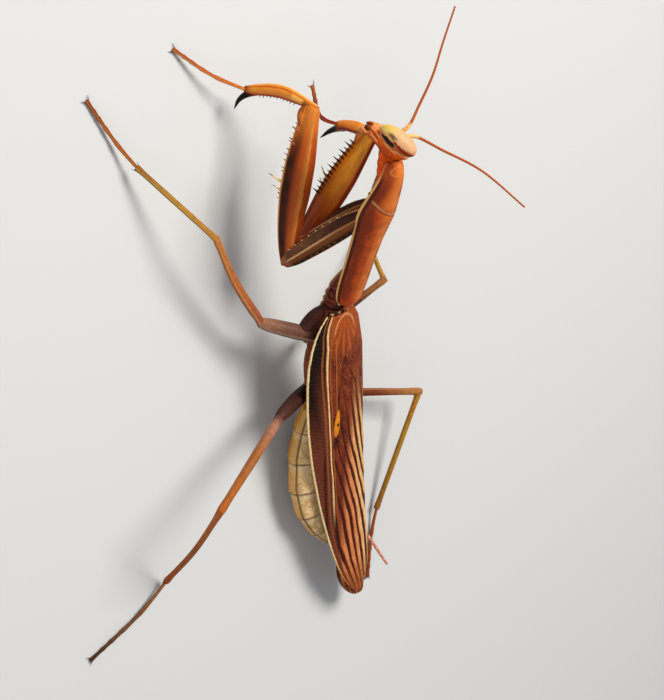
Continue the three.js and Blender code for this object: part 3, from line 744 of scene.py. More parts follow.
def lay_streaks(f, y, out, streak, grain):
    """Dark streaks towards the tip, which waver and alternate with cream and peach ones."""
    waver = f.times(f.noise(f.spot((1, 0.22, 1)), 0.7, 2, 0.2, 0.8), 0.22)
    beside = f.math("PINGPONG", f.plus(streak, waver), 0.5)
    begin = f.plus(f.times(f.either(f.plus(out, 0.8), 0.0), 6.0), 7.0)
    reached = f.between(f.minus(y, begin), -3.5, 7.0)
    pale = f.paint("d88450", "ecbc7a", f.between(out, 0.2, -1.6))
    pale = f.paint(pale, "b0602e", f.both(grain, 0.4))
    f.lay(pale, f.between(beside, 0.17, 0.30), reached, f.between(y, 37, 31, 0.35, 0.95))
    f.lay("32110c", f.between(beside, 0.20, 0.08), f.between(y, 3.0, 12.0, 0.0, 0.9))


def lay_leading_field(f, u, y, out, beyond, wild):
    """The leading field, nearly black at its root and edge, then brown with faint oblique veins; its own
    dark brown is darkened with painted shade, as the field turns down away from the light.
    """
    slant = f.plus(f.times(y, 12.0), f.times(u, 26.0))
    oblique = f.math("SINE", f.plus(slant, f.times(wild, 1.2)))
    beside_vein = f.both(f.between(beyond, 0.26, 0.04), f.between(y, -1.0, 8.0))
    lit = f.either(beside_vein, f.between(y, 5.0, 15.0, 0.0, 0.95))
    faint = f.both(f.between(oblique, 0.2, 1.0), f.between(y, 4.0, 16.0, 0.05, 0.25))
    dark_line = f.both(f.band(out, 3.6, 0.06, 0.08), f.between(y, 12.0, 15.0), 0.8)
    # Painted shade: the field is laid near-black over its own dark brown; lit keeps it brown beside the
    # vein and along its middle.
    field = f.paint(f.paint("110705", "6e3320", lit), "94583a", faint)
    f.lay(f.paint(field, "2a0e08", dark_line), f.between(beyond, 0.01, 0.04))


def lay_veins(f, y, out, beyond):
    """The stout cream vein with a thin brown one on each side, and one more in the broad field."""
    for apart in (-0.085, 0.075):
        f.lay("a05a2c", f.band(beyond, apart, 0.008, 0.015), f.between(y, 32, 22), 0.7)
    f.lay("e6bc84", f.band(beyond, 0.0, 0.011, 0.014), f.between(y, 26.0, 20.0))
    f.lay("b5763c", f.band(out, 2.0, 0.03, 0.06), f.band(y, 3.0, 4.5, 1.0), 0.6)


def lay_spot(f, y, out):
    """The amber spot in the broad field, with a dark end and a dark middle."""
    lean = f.minus(out, f.times(f.minus(y, 9.7), 0.12))
    f.lay("2a0d08", f.between(f.away(lean, y, (2.1, 11.9), (0.35, 1.6)), 1.2, 0.7), 0.8)
    f.lay("cf7f1c", f.between(f.away(lean, y, (2.05, 9.7), (0.42, 1.9)), 1.1, 0.8))
    f.lay("2a0d08", f.between(f.away(out, y, (1.95, 9.9), (0.2, 0.3)), 1.2, 0.6))


def tegmen_finish(name):
    """Red-brown leather under a net of small veins, with its fields, veins, spot and pale rim."""
    f = Finish(name, 0.5, coat=0.04)
    u, y, across = f.kept()
    streak, beyond, out = f.kept("veins")
    grain = f.noise(f.spot((1, 0.35, 1)), 1.5, 4)
    wild = f.noise(f.spot(), 0.6, 3)
    net = f.cells(f.wavering(f.spot((1.0, 0.6, 1.0)), 1.1), 2.1, 0.10)
    f.shade = f.paint("742e16", "541c0e", grain)
    f.lay("a0481a", f.between(y, 1.5, -3.5), 0.7)
    f.lay("a8602c", net, f.between(y, 22.0, 0.0, 0.1, 0.6), f.between(wild, 0, 1, 0.3, 1.0))
    lay_broad_field(f, y, out, wild)
    lay_streaks(f, y, out, streak, grain)
    lay_leading_field(f, u, y, out, beyond, wild)
    lay_veins(f, y, out, beyond)
    lay_spot(f, y, out)
    tip = f.between(y, 31.0, 36.5)
    f.lay("9c521f", tip, 0.5)
    f.lay("200c08", f.noise(f.spot(), 2.6, 1, 0.60, 0.68), tip, 0.8)
    rim = f.paint("efd39a", "c8722c", f.between(y, 27.0, 35.0))
    f.lay(rim, f.between(across, 0.970, 0.980))
    return f.done(f.bump(net, 0.05, f.bump(grain, 0.04)))


def wing_layer(out):
    """How far the right wing lies under the left one, which ends a little past the middle."""
    return 0.68 * (1 - smooth_step(out, OVERLAP + 0.25, OVERLAP + 1.1)) + 0.01


left_tegmen = wing_sheet(
    "tegmen_sheet_left", 1, WING_BASE, LEFT_WING_TIP,
    inner=lambda t, y: 0.2 - np.minimum(OVERLAP, half_width(y)) * wing_tip(t) * np.minimum(1, 0.6 + 3 * t),
    outer=lambda t, y: half_width(y),
    sink=lambda out: 0 * out, relief=tegmen_relief, thickness=TEGMEN_SHEET,
)
tegmen_skin = tegmen_finish("tegmen_leather")
set_up(left_tegmen, tegmen_skin, "forewing", "tegmen_left")
right_tegmen = wing_sheet(
    "tegmen_sheet_right", -1, WING_BASE, RIGHT_WING_TIP,
    inner=lambda t, y: 0.5 - 3.2 * smooth_step(t, 0.6, 0.8) * wing_tip(t),
    outer=lambda t, y: at_path(t * 0.995, HALF_WIDTH) + 0.2 * t,
    sink=wing_layer, relief=tegmen_relief, thickness=TEGMEN_SHEET,
)
set_up(right_tegmen, tegmen_skin, "forewing", "tegmen_right")

# ---------------------------------------------------------------- hindwings
# Thin smoky fans, pleated lengthwise and folded flat under the forewings. The two lie side by side
# and end before the tips of the forewings.
SIDES = (("left", 1), ("right", -1))
PLEATS = 60.0
HINDWING_BASE = -1.5
HINDWING_TIP = 35
HALF_GAP = 0.26  # between the two fans
LEADING_MARGIN = 2.3  # from a fan's leading edge to that of the forewing over it
HINDWING_DEPTH = 1.38  # under the outer face of the folded wings, in mm


def hindwing_finish():
    f = Finish("hindwing_film", 0.35)
    pleats = f.math("SINE", f.times(f.kept()[2], PLEATS))
    f.shade = f.paint("8a6a48", "b79a70", f.between(pleats, -0.5, 1.0))
    f.lay("5a3420", f.cells(f.spot((1, 0.5, 1)), 1.8, 0.1), 0.6)
    return f.done()


hindwing_skin = hindwing_finish()
for side_name, side in SIDES:
    fan = wing_sheet(
        "hindwing_fan_" + side_name, side, HINDWING_BASE, HINDWING_TIP,
        inner=lambda t, y: HALF_GAP + 0 * y,
        outer=lambda t, y: np.maximum(0.6, at_path(t, HALF_WIDTH) - LEADING_MARGIN),
        sink=lambda out: HINDWING_DEPTH + 0 * out,
        relief=lambda u, y, across: 0.06 * np.sin(PLEATS * across), thickness=0.16, columns=48, rows=60,
    )
    set_up(fan, hindwing_skin, "hindwing", "hindwing_" + side_name)

# ---------------------------------------------------------------- walking legs
# The slim middle and hind legs: a stout coxa, a femur with a swollen knee, a ridged tibia with two
# spurs, and a foot of five links. One set of functions makes all four.
FOOT_LINKS = (0, 0.42, 0.62, 0.76, 0.86, 1)
FOOT_WIDTH = 0.6
THORN_ROOT = 0.2  # how much of its length a thorn goes on into the surface it stands on
THORN_RINGS = 6


def thorn_width(ring):
    """How wide a thorn is at a ring, as a part of its width at the root."""
    return 1 - (ring / (THORN_RINGS + 0.3)) ** 1.3


def thorns(name, rows):
    """Many slim curved spines as one piece. Each row is (foot, way, length, radius, bend), in mm."""
    spines = []
    for foot, way, length, radius, bend in rows:
        whole = length * (1 + THORN_ROOT)
        bpy.ops.object.select_all(action="DESELECT")
        bpy.ops.mesh.primitive_circle_add(vertices=8, radius=radius, fill_type="NGON", enter_editmode=True)
        bpy.ops.mesh.select_all(action="SELECT")
        for ring in range(1, THORN_RINGS + 1):
            bpy.ops.mesh.extrude_region_move(TRANSFORM_OT_translate={"value": (0, 0, whole / THORN_RINGS)})
            shrink = thorn_width(ring) / thorn_width(ring - 1)
            bpy.ops.transform.resize(value=(shrink, shrink, 1), center_override=(0, 0, 0))
        bpy.ops.mesh.select_all(action="SELECT")
        bpy.ops.mesh.normals_make_consistent(inside=False)
        bpy.ops.object.mode_set(mode="OBJECT")
        spine = bpy.context.object
        x, y, z = points_of(spine).T
        t = z / whole
        keep(spine, "form", np.stack([x / radius, y / radius, t], 1))
        way = np.array(way, float) / np.linalg.norm(way)
        side = np.cross(way, [0.31, 0.52, 0.79])
        side /= np.linalg.norm(side)
        places = np.array(foot, float) + way * (z[:, None] - THORN_ROOT * length)
        places = places + side * x[:, None] + np.cross(way, side) * y[:, None]
        places = places + np.array(bend, float) * (t[:, None] ** 2) * length
        move_points(spine, (places + WAIST) * MM)
        spines.append(spine)
    bpy.ops.object.select_all(action="DESELECT")
    for spine in spines:
        spine.select_set(True)
    bpy.context.view_layer.objects.active = spines[0]
    bpy.ops.object.join()
    joined = bpy.context.object
    joined.name = joined.data.name = name
    bpy.ops.object.shade_smooth()
    return joined


def spine_finish(name, foot, shaft, point, from_part=0.45, to_part=0.75):
    """Spines whose point is darker than the shaft, from one part of their length to another."""
    f = Finish(name, 0.3, coat=0.3)
    t = f.kept()[2]
    f.shade = f.paint(foot, shaft, f.between(t, 0.15, 0.3))
    f.lay(point, f.between(t, from_part, to_part))
    return f.done()


def at_section(stops, up, t, across, back):
    """A place beside the smooth line through the stops, with the ways along, aside and up there."""
    line = line_through(stops)
    tangents = np.gradient(line, axis=0)
    at = np.linspace(0, 1, len(line))
    centre = np.array([np.interp(t, at, line[:, axis]) for axis in range(3)])
    along = np.array([np.interp(t, at, tangents[:, axis]) for axis in range(3)])
    along /= np.linalg.norm(along)
    side = np.cross(up, along)
    side /= np.linalg.norm(side)
    lift = np.cross(along, side)
    return centre + side * across + lift * back, along, side, lift


def segment_line(joints, index, past, bend=()):
    """The line of one leg segment, from a little before its joint to a little past the next.

    bend holds (part of the length, push in mm) for the stops between its ends.
    """
    start, end = np.array(joints[index], float), np.array(joints[index + 1], float)
    way = (end - start) / np.linalg.norm(end - start)
    start, end = start - past[0] * way, end + past[1] * way
    return [start, *[start + (end - start) * t + np.array(push) for t, push in bend], end]


def knee_profile(stops, thick, knee=0.22):
    """Diameters along a leg femur, with the swelling of the knee added."""
    parts = np.linspace(0, 1, 33)
    wide = np.interp(parts, *zip(*stops)) + knee * np.exp(-(((parts - 0.95) / 0.05) ** 2))
    return [(t, thick * w) for t, w in zip(parts, wide)]


def foot_profile(thickness):
    """Diameters along a foot of five links, each flaring to its end."""
    profile = []
    for start, end in zip(FOOT_LINKS, FOOT_LINKS[1:]):
        for s in (0.0, 0.25, 0.5, 0.75, 0.93):
            profile.append((start + (end - start) * s, thickness * (0.76 + 0.36 * s**3)))
    return [*profile, (1, thickness * 0.8)]


def leg_finish(name, root, middle, end, ridge, start=None):
    """Hard shell that changes colour along a segment, with a pale ridge on its back."""
    f = Finish(name, 0.48, coat=0.04)
    across, back, along = f.kept()
    grain = f.noise(f.spot(), 2.2, 4)
    f.shade = f.paint(root, middle, f.between(along, 0.0, 0.5))
    f.lay(end, f.between(along, 0.5, 1.0))
    if start:
        f.lay(start, f.between(along, 0.16, 0.02))
    f.lay("2e150d", grain, 0.25)
    f.lay(ridge, f.band(back, 0.55, 0.12, 0.2), f.between(across, 0.0, 0.4), 0.6)
    hairs = f.noise(f.drawn(1, 1, 3), 6.0, 2)
    return f.done(f.bump(hairs, 0.03, f.bump(grain, 0.03)))


def rod_relief(across, back, along):
    """Two ridges along a leg segment."""
    ridges = bump_at(back, 0.6, 0.15) + bump_at(back, -0.6, 0.15)
    return 0.035 * ridges * np.sin(math.pi * np.clip(along, 0, 1))


claw_skin = spine_finish("claw", "8a4020", "6a2a14", "1c0d08")


def add_foot(name, joints, bend, skin):
    """A foot of five links, which ends in a pair of claws."""
    line = segment_line(joints, 3, (0.1, 0), bend)
    foot = shell(name + "_foot", line, foot_profile(FOOT_WIDTH), rings=None, sides=8, levels=1)
    set_up(foot, skin, "foot_shell", name + "_tarsus")
    rows = []
    for way in (1, -1):
        place, along, side, _ = at_section(line, (0, 0, 1), 0.97, 0.12 * way, 0)
        claw = along + side * way * 0.75
        claw[2] = min(claw[2], 0)
        rows.append((place, claw, 0.85, 0.1, (0, 0, -0.05)))
    set_up(thorns(name + "_claws", rows), claw_skin, "foot_shell")


COXA_WIDTHS = [(0, 1.6), (0.4, 2.0), (0.8, 1.75), (0.95, 1.4), (1, 1.0)]
FEMUR_WIDTHS = [(0, 0.9), (0.05, 1.3), (0.1, 1.05), (0.14, 1.28), (0.3, 1.17), (0.85, 0.92), (1, 0.8)]
TIBIA_WIDTHS = [(0, 0.75), (0.04, 0.95), (0.1, 0.78), (0.2, 0.72), (0.9, 0.7), (0.97, 0.88), (1, 0.8)]


def walking_leg(name, joints, thick, bends, skins):
    """Coxa, femur and tibia through their joints, the tibia's two spurs, and the foot."""
    forms = {
        "coxa": ((0.4, 0.5), COXA_WIDTHS, None, 12),
        "femur": ((0.4, 0.35), knee_profile(FEMUR_WIDTHS, thick), rod_relief, 30),
        "tibia": ((0.3, 0.2), [(part, thick * wide) for part, wide in TIBIA_WIDTHS], rod_relief, 20),
    }
    for index, (segment, (past, widths, relief, rings)) in enumerate(forms.items()):
        line = segment_line(joints, index, past, bends.get(segment, ()))
        piece = shell(f"{name}_{segment}_shell", line, widths, relief=relief, rings=rings)
        set_up(piece, skins[segment], "leg_shell", f"{name}_{segment}")
    rows = []
    for way in (1, -1):
        place, along, side, _ = at_section(line, (0, 0, 1), 0.97, 0.3 * way * thick, -0.1)
        rows.append((place, along + 0.45 * way * side, 0.8, 0.08, (0, 0, 0)))
    set_up(thorns(name + "_spurs", rows), claw_skin, "leg_shell")
    add_foot(name, joints, bends.get("tarsus", ()), skins["tarsus"])


far_femur_skin = leg_finish("far_femur", "4a1c12", "6a3018", "a8703c", "a8683c")
MIDDLE_SKINS = {
    "coxa": leg_finish("walking_coxa", "3c1a14", "6a4638", "94684e", "a08070"),
    "femur": leg_finish("middle_femur", "96503a", "ac602c", "c07a40", "d8995c"),
    "tibia": leg_finish("middle_tibia", "b47a28", "a87a26", "966222", "cc9e48"),
    "tarsus": leg_finish("middle_foot", "aa5e20", "a05018", "8a380e", "cc8640"),
}
HIND_SKINS = {
    "coxa": leg_finish("hind_coxa", "2c120d", "341812", "4c2a22", "4c2c26"),
    "femur": leg_finish("hind_femur", "a87866", "a0602e", "ac5c1e", "d09468", start="4c261e"),
    "tibia": leg_finish("hind_tibia", "b5642a", "a0561e", "a85018", "d08c48"),
    "tarsus": leg_finish("hind_foot", "96623a", "6e4626", "42240f", "b08a5c"),
}
hip_skin = leg_finish("hip", "4c241a", "3a1a16", "54302a", "7a4a3c")

walking_leg(
    "midleg_left",
    [(2.4, -2.1, 9.1), (8.0, -5.7, 6.3), (13.6, -18.6, 7.6), (18.2, -28.2, 2.0), (21.9, -37.1, 0.3)],
    0.9, {"femur": [(0.5, (0.35, 0.15, -0.3))], "tarsus": [(0.35, (0, 0, -0.45))]}, MIDDLE_SKINS,
)
hip = shell(
    "midleg_left_hip",
    [(0.9, -5.7, 10.2), (2.4, -4.6, 9.5), (4.2, -3.0, 8.2)],
    [(0, 0.8), (0.3, 1.7), (0.6, 1.75), (0.85, 1.4), (1, 0.7)],
    relief=lambda across, back, along: 4 * rod_relief(across, back, along),
)
set_up(hip, hip_skin, "leg_shell")
walking_leg(
    "midleg_right",
    [(-2.4, -2.6, 9.0), (-2.6, 1.4, 2.5), (-10.6, -4.4, 9.5), (-17.0, -7.5, 1.2), (-23.0, -13.8, 0.3)],
    0.9, {"tarsus": [(0.35, (0, 0, -0.3))]}, {**MIDDLE_SKINS, "femur": far_femur_skin},
)
walking_leg(
    "hindleg_left",
    [(2.6, 5.4, 6.2), (9.2, 5.8, 7.8), (26.5, 8.6, 14.0), (26.3, 21.2, 1.3), (38.9, 25.4, 0.3)],
    1.0, {"tibia": [(0.5, (-0.1, 0.3, 0.25))], "tarsus": [(0.4, (-0.5, 0.6, -0.2))]}, HIND_SKINS,
)
walking_leg(
    "hindleg_right",
    [(-2.8, 5.4, 6.6), (-2.2, 8.9, 1.7), (-18.7, 15.5, 5.0), (-11.0, 30.2, 1.2), (-7.9, 39.7, 0.3)],
    1.0, {"tarsus": [(0.35, (0, 0, -0.3))]}, {**MIDDLE_SKINS, "femur": far_femur_skin},
)

# ---------------------------------------------------------------- fore legs
# The catching legs: a long coxa with toothed front edge, a deep spined femur, and a short tibia with
# a comb that ends in a great claw. The foot hangs from beside the claw.


def coxa_finish(name):
    """Dark shell with a light line and amber dashes along its side and a pale front edge."""
    f = Finish(name, 0.5, coat=0.05)
    across, back, along = f.kept()
    grain = f.noise(f.drawn(1, 2, 9), 1.2, 4)
    near = f.between(across, -0.15, 0.1)
    turn = f.math("DEGREES", f.math("ARCTAN2", back, across))
    f.shade = f.paint("3a180e", "724a30", f.between(along, 0.2, 0.85))
    f.lay("2e120a", grain, 0.5)
    below = f.paint("74401c", "200d04", f.between(back, 0.25, -0.3))
    f.lay(below, f.between(back, 0.56, 0.46))
    dashes = f.both(
        f.band(back, -0.3, 0.05, 0.06), f.between(f.math("SINE", f.times(along, 90.0)), 0.1, 0.6)
    )
    f.lay("a85c20", dashes, near, f.between(f.noise(f.spot(), 0.6, 2), 0, 1, 0.1, 0.9))
    line = f.paint("8a5a34", "c09068", f.between(along, 0.2, 0.7))
    f.lay(line, f.band(back, 0.57, 0.05, 0.06), near)
    f.lay("9a3410", f.between(back, -0.55, -0.7))
    f.lay("a8652c", f.between(across, -0.4, -0.6))
    f.lay("cc9860", f.band(turn, 111.0, 6.0, 5.0))
    f.lay("965a3e", f.between(along, 0.90, 0.96), f.between(back, -0.5, 0.2))
    return f.done(f.bump(grain, 0.04))


def coxa_relief(across, back, along):
    """A line along each side between two hollows, and sharper edges above and below."""
    middle = np.sin(math.pi * np.clip(along, 0, 1)) ** 0.5
    sides = np.clip(np.abs(across) * 3, 0, 1)
    line = 0.09 * bump_at(back, 0.57, 0.08) * sides
    hollow = -0.10 * (bump_at(back, 0.8, 0.12) + bump_at(back, 0.15, 0.25)) * sides
    edges = 0.08 * (bump_at(back, 0.95, 0.12) + bump_at(back, -0.95, 0.12))
    return (line + hollow + edges) * middle


def outer_femur_finish():
    """Bands along the femur's outer face, from blackish below over ochre to red-brown."""
    f = Finish("fore_femur_outer", 0.48, coat=0.06)
    across, back, along = f.kept()
    grain = f.noise(f.drawn(1, 1.5, 8), 1.2, 4)
    level = f.plus(back, f.times(grain, 0.05))
    f.shade = f.paint("64260a", "a84a12", f.between(level, -0.5, 0.15))
    f.lay("1c0a04", f.between(level, -0.3, -0.6), f.between(along, 0.9, 0.6))
    ochre = f.paint("b4682a", "d08c3c", f.between(level, 0.3, 0.5))
    f.lay(ochre, f.between(level, 0.10, 0.32), f.between(level, 0.60, 0.46), 0.9)
    f.lay("9c4014", f.between(level, 0.66, 0.78))
    f.lay("5a2208", grain, 0.3)
    f.lay("b8602a", f.between(level, 0.93, 0.97))
    f.lay("cc8038", f.between(back, -0.82, -0.87))
    f.lay(f.paint("b0601e", "d08a30", grain), f.between(across, -0.05, -0.35))
    f.lay("c4742c", f.between(along, 0.72, 0.95), 0.8)
    f.lay("7a3c22", f.between(along, 0.07, 0.02))
    return f.done(f.bump(grain, 0.04))


def inner_femur_finish():
    """The femur's orange inner face, redder at its root and dark at its lower edge."""
    f = Finish("fore_femur_inner", 0.48, coat=0.06)
    across, back, along = f.kept()
    grain = f.noise(f.drawn(1, 1.2, 6), 1.0, 4)
    f.shade = f.paint("8a3004", "d87a14", f.between(along, 0.15, 0.85))
    f.lay("e09426", f.band(back, 0.25, 0.3, 0.3), f.between(along, 0.35, 0.95))
    f.lay("7c3c10", grain, 0.4)
    f.lay("7a2606", f.between(back, 0.74, 0.9))
    f.lay("4c1a06", f.between(back, -0.6, -0.9), f.between(along, 0.55, 0.3))
    f.lay("7c4520", f.between(across, -0.05, -0.35))
    return f.done(f.bump(grain, 0.04))


def fore_femur_relief(across, back, along):
    """Hollowed faces between a blunt back and two sharp lower rims with a groove between them."""
    middle = np.sin(math.pi * np.clip(along, 0, 1)) ** 0.6
    faces = 0.08 * bump_at(back, 0.38, 0.15) - 0.12 * bump_at(back, -0.5, 0.25)
    faces = faces - 0.07 * bump_at(back, 0.65, 0.15)
    groove = -0.12 * bump_at(across, 0, 0.2) * np.clip(-back * 4 - 2, 0, 1)
    rims = 0.32 * bump_at(np.abs(across), 0.5, 0.22) * np.clip(-back * 4 - 2.6, 0, 1)
    return (faces + groove + rims) * middle


def fore_tibia_finish(name, bright, line, under, crest):
    """Orange shell with a line along its side, a lighter crest and a pale band below the knee."""
    f = Finish(name, 0.5, coat=0.03)
    across, back, along = f.kept()
    grain = f.noise(f.drawn(1, 1, 6), 1.2, 3)
    f.shade = f.paint(bright, line, f.both(grain, 0.4))
    f.lay(under, f.between(back, -0.1, -0.5))
    f.lay(line, f.band(back, 0.45, 0.06, 0.1), f.between(across, 0, 0.3))
    f.lay(crest, f.between(back, 0.72, 0.9))
    f.lay("a83a06", f.between(back, -0.6, -0.85))
    f.lay("e8c060", f.band(along, 0.27, 0.05, 0.06), f.band(back, -0.1, 0.3, 0.3), 0.5)
    f.lay("7c3c18", f.band(along, 0.13, 0.03, 0.04), f.between(back, 0.5, 0.1), 0.85)
    f.lay("7a2a10", f.between(along, 0.88, 1.0))
    return f.done(f.bump(grain, 0.03))


def great_claw_finish():
    f = Finish("great_claw", 0.32, coat=0.12)
    along = f.kept()[2]
    f.shade = f.paint("8a3212", "0e0705", f.between(along, 0.08, 0.4))
    return f.done()


COXA_TEETH = 9
TIBIA_TEETH = 11
great_claw_skin = great_claw_finish()
knee_skin = leg_finish("fore_knee", "a8561c", "bc6822", "984814", "c87c34")
comb_skin = spine_finish("comb_spines", "7a3010", "1a0c08", "0a0504", 0.3, 0.5)
pale_spine_skin = spine_finish("pale_spines", "c8863a", "e6c888", "2c140a", 0.66, 0.86)
brown_spine_skin = spine_finish("brown_spines", "a05a24", "7c3c16", "2c140a", 0.66, 0.9)
coxa_tooth_skin = spine_finish("coxa_teeth", "d09a58", "f0d6a4", "c09060")


def knee_lobes(name, line, up):
    """The two lobes of the knee, one on each face of the femur."""
    for face in (1, -1):
        lobe_line = [
            at_section(line, up, t, 0.42 * face, back)[0]
            for t, back in ((0.865, -0.95), (0.93, -1.02), (0.985, -0.8))
        ]
        lobe = shell(
            f"{name}_knee_lobe_{face}", lobe_line,
            [(0, 0.3), (0.3, 0.5), (0.7, 0.55), (1, 0.25)], [(0, 0.4), (0.3, 0.8), (0.7, 0.95), (1, 0.4)],
            up=up,
        )
        set_up(lobe, knee_skin, "foreleg_shell")


def fore_coxa(name, joints, up, skin):
    """The coxa, with a row of teeth down its front edge."""
    line = segment_line(joints, 0, (0.5, 0.6))
    coxa = shell(
        name + "_coxa_shell", line,
        [(0, 1.2), (0.08, 1.7), (0.18, 2.1), (0.6, 2.0), (0.9, 1.7), (1, 1.1)],
        [(0, 1.3), (0.06, 1.7), (0.14, 2.4), (0.24, 2.95), (0.36, 3.15), (0.6, 3.0), (0.9, 2.5), (1, 1.5)],
        up=up, relief=coxa_relief, rings=18, levels=3,
    )
    set_up(coxa, skin, "foreleg_shell", name + "_coxa")
    rows = []
    for i in range(COXA_TEETH):
        t = 0.18 + 0.085 * i
        edge = 0.97 * np.interp(t, (0.14, 0.24, 0.36, 0.6, 0.9), (1.14, 1.42, 1.54, 1.46, 1.18))
        place, along, _, lift = at_section(line, up, t, -0.32, edge)
        rows.append((place, lift + 0.4 * along, 0.26, 0.075, (0, 0, 0)))
    set_up(thorns(name + "_coxa_teeth", rows), coxa_tooth_skin, "foreleg_shell")


def fore_femur(name, joints, bend, up, outer, skin):
    """The deep femur, with four outer spines, three long pale ones, an inner comb and knee lobes."""
    line = segment_line(joints, 1, (0.6, 0.45), bend)
    femur = shell(
        name + "_femur_shell", line,
        [(0, 1.0), (0.07, 1.6), (0.3, 1.85), (0.6, 1.75), (0.85, 1.35), (0.97, 1.2), (1, 0.7)],
        [(0, 1.5), (0.07, 2.1), (0.25, 2.9), (0.45, 3.65), (0.65, 3.55),
         (0.84, 2.7), (0.92, 2.3), (0.97, 2.2), (1, 1.3)],
        up=up, relief=fore_femur_relief, rings=26, levels=3,
    )
    set_up(femur, skin, "foreleg_shell", name + "_femur")

    def spine(t, x, length, radius, lean=0.6, splay=0.25, root=0.86):
        """One row for thorns, rooted in the femur's lower side at t and x mm across."""
        deep = np.interp(t, (0.25, 0.45, 0.65, 0.84), (1.6, 1.8, 1.72, 1.3))
        place, along, side, lift = at_section(line, up, t, x, -deep * root)
        return place, -lift + lean * along + splay * side * np.sign(x), length, radius, -0.12 * along

    short = [spine(0.585 + 0.082 * i, 0.45 * outer, 0.85, 0.13) for i in range(4)]
    set_up(thorns(name + "_outer_spines", short), brown_spine_skin, "foreleg_shell")
    pale = [spine(0.40 + 0.05 * i, 0.1 * outer, 0.7 + 0.8 * i, 0.14 + 0.04 * i, splay=0) for i in range(3)]
    set_up(thorns(name + "_pale_spines", pale), pale_spine_skin, "foreleg_shell")
    comb = [
        spine(0.42 + 0.034 * i, -0.62 * outer, (1.15, 0.75)[i % 2], 0.18, splay=1.1, root=0.74)
        for i in range(14)
    ]
    set_up(thorns(name + "_comb_spines", comb), comb_skin, "foreleg_shell")
    knee_lobes(name, line, up)


def fore_tibia(name, joints, bend, up, skin):
    """The short tibia, with a comb of teeth beneath it and the great claw at its end."""
    line = segment_line(joints, 2, (0.55, 0.3), bend)
    tibia = shell(
        name + "_tibia_shell", line,
        [(0, 0.8), (0.1, 1.1), (0.6, 1.05), (0.9, 0.9), (1, 0.6)],
        [(0, 1.15), (0.18, 1.15), (0.4, 1.6), (0.6, 1.6), (0.85, 1.35), (1, 0.8)],
        up=up, rings=16,
    )
    set_up(tibia, skin, "foreleg_shell", name + "_tibia")
    teeth = []
    for i in range(TIBIA_TEETH):
        place, along, _, lift = at_section(line, up, 0.28 + 0.05 * i, 0.2, -0.68)
        teeth.append((place, 0.5 * along - lift, 0.28 + 0.12 * (i % 2), 0.08, -0.1 * along))
    set_up(thorns(name + "_tibia_comb", teeth), comb_skin, "foreleg_shell")
    root, along, _, lift = at_section(line, up, 0.83, -0.25, -0.25)
    claw = shell(
        name + "_great_claw",
        [root + a * along - b * lift for a, b in ((-0.2, -0.1), (1.3, 0.25), (2.3, 0.95), (2.85, 2.0))],
        [(0, 1.0), (0.35, 0.9), (0.75, 0.5), (0.95, 0.18), (1, 0.05)],
        up=lift,
    )
    set_up(claw, great_claw_skin, "foreleg_shell")


def fore_leg(name, joints, backs, outer, bends, skins):
    """A catching leg. backs are the ways the segments' backs face; outer is 1 or -1 for its side."""
    fore_coxa(name, joints, backs["coxa"], skins["coxa"])
    fore_femur(name, joints, bends.get("femur", ()), backs["femur"], outer, skins["femur"])
    fore_tibia(name, joints, bends.get("tibia", ()), backs["tibia"], skins["tibia"])
    add_foot(name, joints, bends.get("tarsus", ()), skins["tarsus"])


fore_leg(
    "foreleg_left",
    [(0.9, -18.4, 19.1), (5.5, -13.2, 10.0), (-1.1, -29.7, 11.4), (1.6, -32.3, 4.1), (8.2, -38.9, 0.3)],
    {"coxa": (0.2, -0.8, 0.5), "femur": (-0.7, 0.18, 0.69), "tibia": (-0.33, -0.92, -0.11)},
    1,
    {"femur": [(0.2, (0.24, -0.05, -0.28)), (0.5, (0.25, -0.05, -0.3))],
     "tibia": [(0.2, (-0.22, -0.55, -0.08)), (0.5, (-0.31, -0.88, -0.1))],
     "tarsus": [(0.45, (0.2, 0.35, -0.2))]},
    {"coxa": coxa_finish("left_fore_coxa"), "femur": outer_femur_finish(),
     "tibia": fore_tibia_finish("left_fore_tibia", "d88a34", "b8540f", "c87838", "e8a860"),
     "tarsus": leg_finish("fore_foot", "d47028", "c8601c", "a84c18", "e8a060")},
)
fore_leg(
    "foreleg_right",
    [(-1.7, -18.8, 19.1), (1.2, -13.5, 8.2), (-3.2, -26.4, 18.0), (-5.7, -26.3, 10.8), (-2.1, -32.1, 11.1)],
    {"coxa": (-0.2, -0.8, 0.5), "femur": (0.1, 0.5, 0.85), "tibia": (-0.75, -0.47, 0.45)},
    -1,
    {"tibia": [(0.5, (-0.1, -0.25, 0))], "tarsus": [(0.45, (0.9, 0.85, -0.35))]},
    {"coxa": coxa_finish("right_fore_coxa"), "femur": inner_femur_finish(),
     "tibia": fore_tibia_finish("right_fore_tibia", "fa9404", "dc7002", "e07a02", "f09a18"),
     "tarsus": leg_finish("far_foot", "8a2a10", "7a2410", "b0602a", "c06a3a")},
)

# ---------------------------------------------------------------- neck
# Soft skin in fine rings between the shield and the head, with its ends sunk into both. It is
# orange above and brown beneath.


def neck_finish():
    f = Finish("neck_skin", 0.55, softness=0.1)
    grain = f.noise(f.spot(), 2.0, 4)
    f.shade = f.paint("e0560c", "c24408", grain)
    f.lay("5a1e0a", f.between(f.kept()[1], -0.2, -0.8))
    return f.done(f.bump(grain, 0.05))


neck = shell(
    "neck_skin", [(-0.5, -22.1, 21.6), (-0.5, -26.1, 23.0)],
    [(0, 2.2), (0.5, 2.5), (1, 2.4)], [(0, 1.9), (0.5, 2.2), (1, 2.2)],
    relief=lambda across, back, along: 0.035 * np.sin(along * 24 + across), rings=16,
)
set_up(neck, neck_finish(), "neck_membrane", "neck")

